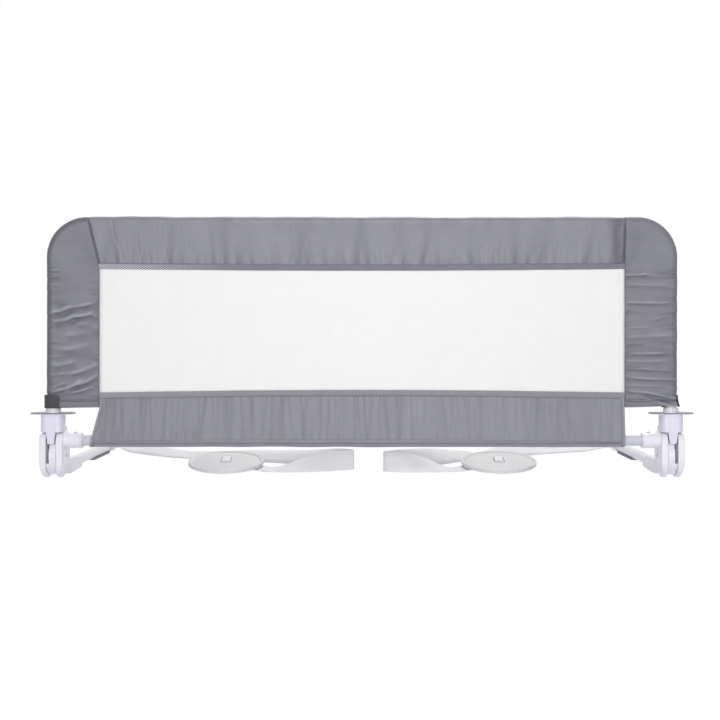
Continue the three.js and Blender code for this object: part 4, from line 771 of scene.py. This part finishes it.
def topDetail(x, z, inner, front):
    rim = np.abs(inner - girth["top"])
    out = puckers(x, inner, topPuckers["seam"], topPuckers["seed"]) * smooth(inner / 1.5)
    out = out + puckers(x, rim, topPuckers["rim"], topPuckers["seed"]) * smooth(rim / 9)
    out = out * longCut["topDepth"]
    for a, b, size, width in topCreases:
        crease = fold(x, z, a, b, longCut["creaseHeight"] * size, longCut["creaseWidth"] * width)
        out = out - np.where(front, crease, 0)
    for at, width in ((-topSeamX(z, cover["topLean"]), 2.2), (topSeamX(z, 0), 2.2), (longCut["dipX"], 8)):
        out = out + groove(x - at, longCut["dip"], width)
    return out, swell(x, z * 0.5, 1.5, topPuckers["seed"] + 2) * smooth(inner / 14)


def bottomDetail(x, z, inner, front):
    rim = np.abs(inner - girth["bottom"])
    calm = 1 - longCut["calm"] * smooth((x + 60) / 300)
    out = puckers(x, inner, lowPuckers["seam"], lowPuckers["seed"])
    out = out * smooth(inner / 1.5) * smooth((rim - 8) / 10)
    atTube = puckers(x, rim - longCut["channelSeam"], lowPuckers["rim"], lowPuckers["seed"])
    out = (out + atTube * smooth((rim - 13) / 4)) * longCut["bottomDepth"] * calm
    out = out + groove(rim - longCut["hemLine"], 0.8, 1.2)
    return out, swell(x, z * 0.5, 1.0, lowPuckers["seed"] + 2) * smooth(inner / 14)


def longPanel(outerZ, top):
    inset = cover["binding"] + 0.3 if top else -cover["binding"] - 0.3
    edgeX = topSeamX if top else hemSeamX
    lean = cover["topLean"] if top else cover["hemLean"]

    def place(s, w):
        middle = windowX * (2 * s - 1)
        z = outerZ + (windowEdge(middle, top) + inset - outerZ) * w
        return -edgeX(z, lean) + (edgeX(z, 0) + edgeX(z, lean)) * s, z
    return {"place": place, "beyond": beyondFrame if top else lambda x, z: cover["crossZ"] - z,
            "detail": topDetail if top else bottomDetail}


panels = {"left": sidePanel("left"), "right": sidePanel("right"), "top": longPanel(coverTop, True),
          "bottom": longPanel(coverBottom, False)}
quality = 1.0
stationCounts = {"side": 290, "long": 610}
stitch = {"length": 2.6, "pitch": 3.9, "radius": 0.5, "proud": 0.2, "ring": 5, "rings": 0.27}
onPanel = {side: [] for side in panels}  # what is sewn to each panel
seamLines = {}  # rows of points on the cloth, with the way out of it
for side, panel in panels.items():
    kind, cloth = ("side", shadedSideCloth) if side in sideCut else ("long", coverCloth)
    piece, grid, normal = makeSheet(f"cover{side.capitalize()}Panel", panel,
                                    np.linspace(0, 1, int(stationCounts[kind] * quality)), cloth, cover["wall"])
    settle(piece, "rail_panel", f"cover_{side}_panel")
    panel["piece"], panel["kind"] = piece, kind
    seams = [np.s_[:, 1], np.s_[:, -2]]
    if side == "top":
        seams += [np.s_[2, 1:cover["front"]], np.s_[-3, 1:cover["front"]]]
    seamLines[side] = [(grid[seam], normal[seam]) for seam in seams]
    print(side, "panel", len(piece.data.polygons), "faces")

# hems: a doubled band at each side panel's mouth and the bottom panel's ends, and the tape of its tube channel,
# whose paler tone is also painted light from the floor below
hem = {"height": 13, "lift": 0.5, "wall": 0.5, "rows": 14}
edgeTape = {"share": 6 / 925, "lift": 0.55, "wall": 0.5, "rows": 6, "channelRows": 240, "channelLift": 0.35,
            "seamLift": 0.2}


def sewOn(name, side, stations, cloth, band, lift, crossRange=None):
    piece, grid, normal = makeSheet(name, panels[side], stations, cloth, band["wall"], lift, crossRange)
    settle(piece, "rail_panel")
    onPanel[side].append(piece)
    return grid, normal


for side in sideCut:
    stations = np.linspace(0.0, hem["height"] / panels[side]["length"], hem["rows"])
    grid, normal = sewOn(f"{side}Hem", side, stations, hemCloth, hem, hem["lift"])
    seamLines[side].append((grid[-2, 2:-2], normal[-2, 2:-2]))
share = edgeTape["share"]
for name, start, row in (("bottomLeftHem", 0, -2), ("bottomRightHem", 1 - share, 1)):
    stations = np.linspace(start, start + share, edgeTape["rows"])
    grid, normal = sewOn(name, "bottom", stations, hemTape, edgeTape, edgeTape["lift"])
    seamLines["bottom"].append((grid[row, 2:-2], normal[row, 2:-2]))
# the channel tape is paler than the cloth: partly a real tape, partly painted bounce light on the tube's lower
# roll
channel = (cover["front"] + 1, cover["front"] + cover["round"] - 3)
stations = np.linspace(share, 1 - share, edgeTape["channelRows"])
grid, normal = sewOn("tubeChannelTape", "bottom", stations, hemTape, edgeTape, edgeTape["channelLift"], channel)
seamLines["bottom"].append((grid[:, 0] + normal[:, 0] * edgeTape["seamLift"], normal[:, 0]))


def addStitches(points, faces, line, outward):
    # each stitch is a small spindle lying along the line: two rings of points between two tips
    run = runAlong(line)
    half, r, n = stitch["length"] / 2, stitch["radius"], stitch["ring"]
    at = stitch["pitch"] / 2
    while at < run[-1] - half:
        start, stop, out = (np.array([np.interp(at + more, run, rows[:, k]) for k in range(3)])
                            for rows, more in ((line, -half), (line, half), (outward, 0)))
        out, way = unit(out), unit(stop - start)
        middle = (start + stop) / 2 + out * stitch["proud"]
        aside = np.cross(way, out)
        base = len(points)
        points.append(middle - way * half)
        for shift in (-stitch["rings"], stitch["rings"]):
            for k in range(n):
                turn = 2 * pi * k / n
                points.append(middle + way * stitch["length"] * shift
                              + (aside * cos(turn) + out * sin(turn)) * r)
        points.append(middle + way * half)
        low, high, tip = base + 1, base + 1 + n, base + 1 + 2 * n
        for k in range(n):
            m = (k + 1) % n
            faces += [(base, low + m, low + k), (low + k, low + m, high + m, high + k), (high + k, high + m, tip)]
        at += stitch["pitch"]


def makeStitches(name, lines):
    points, faces = [], []
    for line, outward in lines:
        addStitches(points, faces, np.array(line), np.array(outward))
    uvs = [(float(x) * mm, float(z) * mm) for x, y, z in points]
    piece = newObject(name, [np.array(p) + toRail for p in points], faces, sewingThread, uvs)
    editMesh(piece)
    settle(piece, "rail_panel")
    return piece


for side, panel in panels.items():
    onPanel[side].append(makeStitches(f"{side}PanelStitches", seamLines[side]))
print("hems and stitches made")

# window: the net and its two bindings
window = {"columns": 150, "rows": 36, "wall": 0.4, "under": 2, "sideGap": 0.3, "belly": 0.5, "ripple": 0.3}
binding = {"half": 1.75, "width": cover["binding"] + 1.2, "overNet": 0.4, "steps": 300, "sideGap": 0.2,
           "chamfer": 0.8, "wave": 0.25, "waveLength": 2.1, "uneven": 0.2, "frayed": 0.25, "sharpAngle": 50,
           "seeds": {True: 5, False: 6}}


def makeNet():
    points, uvs = [], []
    for i in range(window["columns"] + 1):
        x = (windowX - window["sideGap"]) * (2 * i / window["columns"] - 1)
        low, high = windowEdge(x, False) - window["under"], windowEdge(x, True) + window["under"]
        for j in range(window["rows"] + 1):
            share = j / window["rows"]
            z = low + (high - low) * share
            belly = sin(pi * share) * cos(pi * x / 2 / windowX)
            y = window["belly"] * belly + window["ripple"] * sin(x / 23) * sin(z / 31)
            points.append((x, railY + y, z))
            uvs.append((x * mm, z * mm))
    faces = gridFaces(window["columns"] + 1, window["rows"] + 1)
    piece = newObject("windowNet", points, faces, netCloth, uvs)
    solidify(piece, window["wall"], 0)
    return piece


net = makeNet()
settle(net, "rail_panel", "mesh_window")


def makeBinding(name, top, node):
    half, width, chamfer = binding["half"], binding["width"], binding["chamfer"]
    outline = [(-half, chamfer), (-half * 0.8, 0), (half * 0.8, 0), (half, chamfer), (half, width - chamfer),
               (half * 0.8, width), (-half * 0.8, width), (-half, width - chamfer)]
    points, uvs = [], []
    count = binding["steps"]
    draw = random.Random(binding["seeds"][top])
    frays = [draw.uniform(-1, 1) for _ in range(count + 1)]
    for i, fray in enumerate(frays):
        x = (windowX - binding["sideGap"]) * (2 * i / count - 1)
        edge = float(windowEdge(x, top))
        low = edge - binding["overNet"] if top else edge - width + binding["overNet"]
        wave = binding["wave"] * sin(x / binding["waveLength"]) + binding["uneven"] * fray
        for k, (y, z) in enumerate(outline):
            spread = float(topSeamX(low + z, cover["topLean"])) - windowX if top and x < 0 else 0
            px = x * (1 + (spread + 0.4) / windowX)
            atCorner = k in (0, 3, 4, 7)
            points.append((px, railY + y * (1 + 0.12 * wave), low + z + binding["frayed"] * fray * atCorner))
            uvs.append((x * mm, (z + (y if k < 4 else -y)) * mm))
    cloth = topBindingCloth if top else lowBindingCloth
    piece = newObject(name, points, tubeFaces(count + 1, len(outline)), cloth, uvs)
    editMesh(piece)
    bpy.ops.object.shade_smooth_by_angle(angle=radians(binding["sharpAngle"]))
    settle(piece, "rail_panel", node)


makeBinding("windowTopBinding", True, "window_top_binding")
makeBinding("windowBottomBinding", False, "window_bottom_binding")

# closure tabs round the sleeve's outer edge; the right one leans and shows only its edge
tab = {"low": 121.8, "high": 144.2, "reach": 13.5, "stub": 8, "inset": 2.6, "startGap": 6, "steps": 22,
       "edge": 0.3, "rise": 0.6, "endShare": 0.3, "endSteps": 5,
       # radius, wall, lean and taper
       "left": (14.3, 1.4, 0, 0), "right": (12.4, 0.8, 3.2, 0.07)}
for side, sign in ends:
    bow, wall, lean, thinner = tab[side]
    low, high, reach = tab["low"], tab["high"], tab["reach"]
    if side == "left":
        path = [(-reach, -bow), (-reach / 2, -bow), (0, -bow)]
        start = -90
    else:
        path = []
        start = -degrees(acos(tab["stub"] / sleeve))
    path += [roundPoint(bow, a) for a in np.linspace(start + tab["startGap"], 90, tab["steps"])]
    path += [(-reach / 2, bow), (-reach, bow)]

    def tabPlace(a, b, c):
        share = (high - c) / (high - low)
        outer = max(0, a) / bow
        taper = thinner * (1 - share) * outer
        x = uprightX + a * (1 - taper) + lean * share * share * outer
        return sign * x, railY + b, c + lean * tab["rise"] * share * outer

    piece = makeBand(f"{side}ClosureTab", path, low, high, wall, tabCloth, tabPlace)
    modify(piece, "BEVEL", width=tab["edge"] * mm, segments=2, limit_method="ANGLE")
    settle(piece, "rail_panel", f"{side}_closure_tab")
    # two rows of stitches along it, and one across each end
    skin = (bow + wall / 2) / bow
    levels = (low + tab["inset"], high - tab["inset"])
    lines = []
    for level in levels:
        row = [np.array(tabPlace(a if a < 0 else a * skin, b * skin, level)) - toRail for a, b in path]
        lines.append((row, [np.array([sign * max(0, a), b, 0]) for a, b in path]))
    for a, b in ((path[0], path[1]), (path[-1], path[-2])):
        acrossX = a[0] + (b[0] - a[0]) * tab["endShare"]
        row = [np.array(tabPlace(acrossX, a[1] * skin, level)) - toRail
               for level in np.linspace(*levels, tab["endSteps"])]
        lines.append((row, [np.array([0, a[1], 0])] * tab["endSteps"]))
    makeStitches(f"{side}TabStitches", lines)
print("window and tabs made")

# the floor lies as low as the ground under a bed, so that the rail can hang down past the legs
floor = {"level": -390, "radius": 9.0, "points": 96, "colour": "d8d8da", "white": 0.5, "fadeFrom": 0.75,
         "fadeTo": 1.3}


def plainlySeen(tree):
    # 1 where the eye sees a thing straight, through the net or in a gloss, 0 where it only lights the part
    ray = addNode(tree, "LightPath")
    direct = addNode(tree, "Math", [ray.outputs["Is Camera Ray"], ray.outputs["Is Transmission Ray"]],
                     operation="MAXIMUM")
    return addNode(tree, "Math", [direct, ray.outputs["Is Glossy Ray"]], operation="MAXIMUM")


bpy.ops.mesh.primitive_circle_add(vertices=floor["points"], radius=floor["radius"], fill_type="NGON",
                                  location=(0, 0, floor["level"] * mm))
bpy.ops.object.transform_apply(location=True)
ground = bpy.context.active_object
ground.name = "floor"
# matt paper: takes soft shadows near the part and fades to plain white away from it
floorMaterial, floorTree, floorShader = newMaterial("paleFloor", {
    "Roughness": 1.0, "Specular IOR Level": 0.0, "Base Color": floor["colour"]})
glow = addNode(floorTree, "Emission", {"Strength": floor["white"], "Color": (1, 1, 1, 1)})
plain = addNode(floorTree, "Emission", {"Strength": 1.0, "Color": (1, 1, 1, 1)})
together = addNode(floorTree, "AddShader", [floorShader, glow])
spot = addNode(floorTree, "TexCoord")
away = addNode(floorTree, "VectorMath", [spot.outputs["Object"]], operation="LENGTH")
fade = addNode(floorTree, "MapRange", {0: away.outputs["Value"], 1: floor["fadeFrom"], 2: floor["fadeTo"]})
faded = addNode(floorTree, "MixShader", {0: fade, 1: together, 2: plain})
choose = addNode(floorTree, "MixShader", {0: plainlySeen(floorTree), 1: floorShader, 2: faded})
setInputs(floorTree, floorTree.nodes["Material Output"], [choose])
ground.data.materials.append(floorMaterial)

# a backdrop a little darker to the left and right, so that the round edges show
backdrop = {"front": (0.54, 0.54, 0.56, 1), "sides": (0.2, 0.2, 0.22, 1), "power": 1.5}
world = bpy.data.worlds.new("studio")
scene.world = world
world.use_nodes = True
worldTree = world.node_tree
spread = addNode(worldTree, "TexCoord")
aside = addNode(worldTree, "SeparateXYZ", {0: spread.outputs["Generated"]})
away = addNode(worldTree, "Math", [aside], operation="ABSOLUTE")
flag = addNode(worldTree, "Math", [away, backdrop["power"]], operation="POWER")
soft = addNode(worldTree, "Mix", {0: flag, 6: backdrop["front"], 7: backdrop["sides"]}, data_type="RGBA")
shown = addNode(worldTree, "Mix", {0: plainlySeen(worldTree), 6: soft, 7: (1, 1, 1, 1)}, data_type="RGBA")
setInputs(worldTree, worldTree.nodes["Background"], [shown])

# soft lamps: place, what they face, size in m and watts
lamps = {
    "keyLamp": ((0, -1.5, 1.1), (0, -0.23, 0.2), (0.6, 0.6), 8),
    "lowLamp": ((0.1, -2.4, 0.13), (0, -0.23, 0.05), (2.4, 0.2), 17),
    "topLamp": ((0.4, 2.2, 3.4), (0, 0.2, 0), (2.0, 2.0), 85),
}
for name, (place, target, size, watts) in lamps.items():
    data = bpy.data.lights.new(name, "AREA")
    data.energy = watts
    data.shape = "RECTANGLE"
    data.size, data.size_y = size
    lamp = bpy.data.objects.new(name, data)
    scene.collection.objects.link(lamp)
    lamp.location = place
    lamp.rotation_euler = (Vector(target) - Vector(place)).to_track_quat("-Z", "Y").to_euler()
scene.view_settings.view_transform = "Standard"
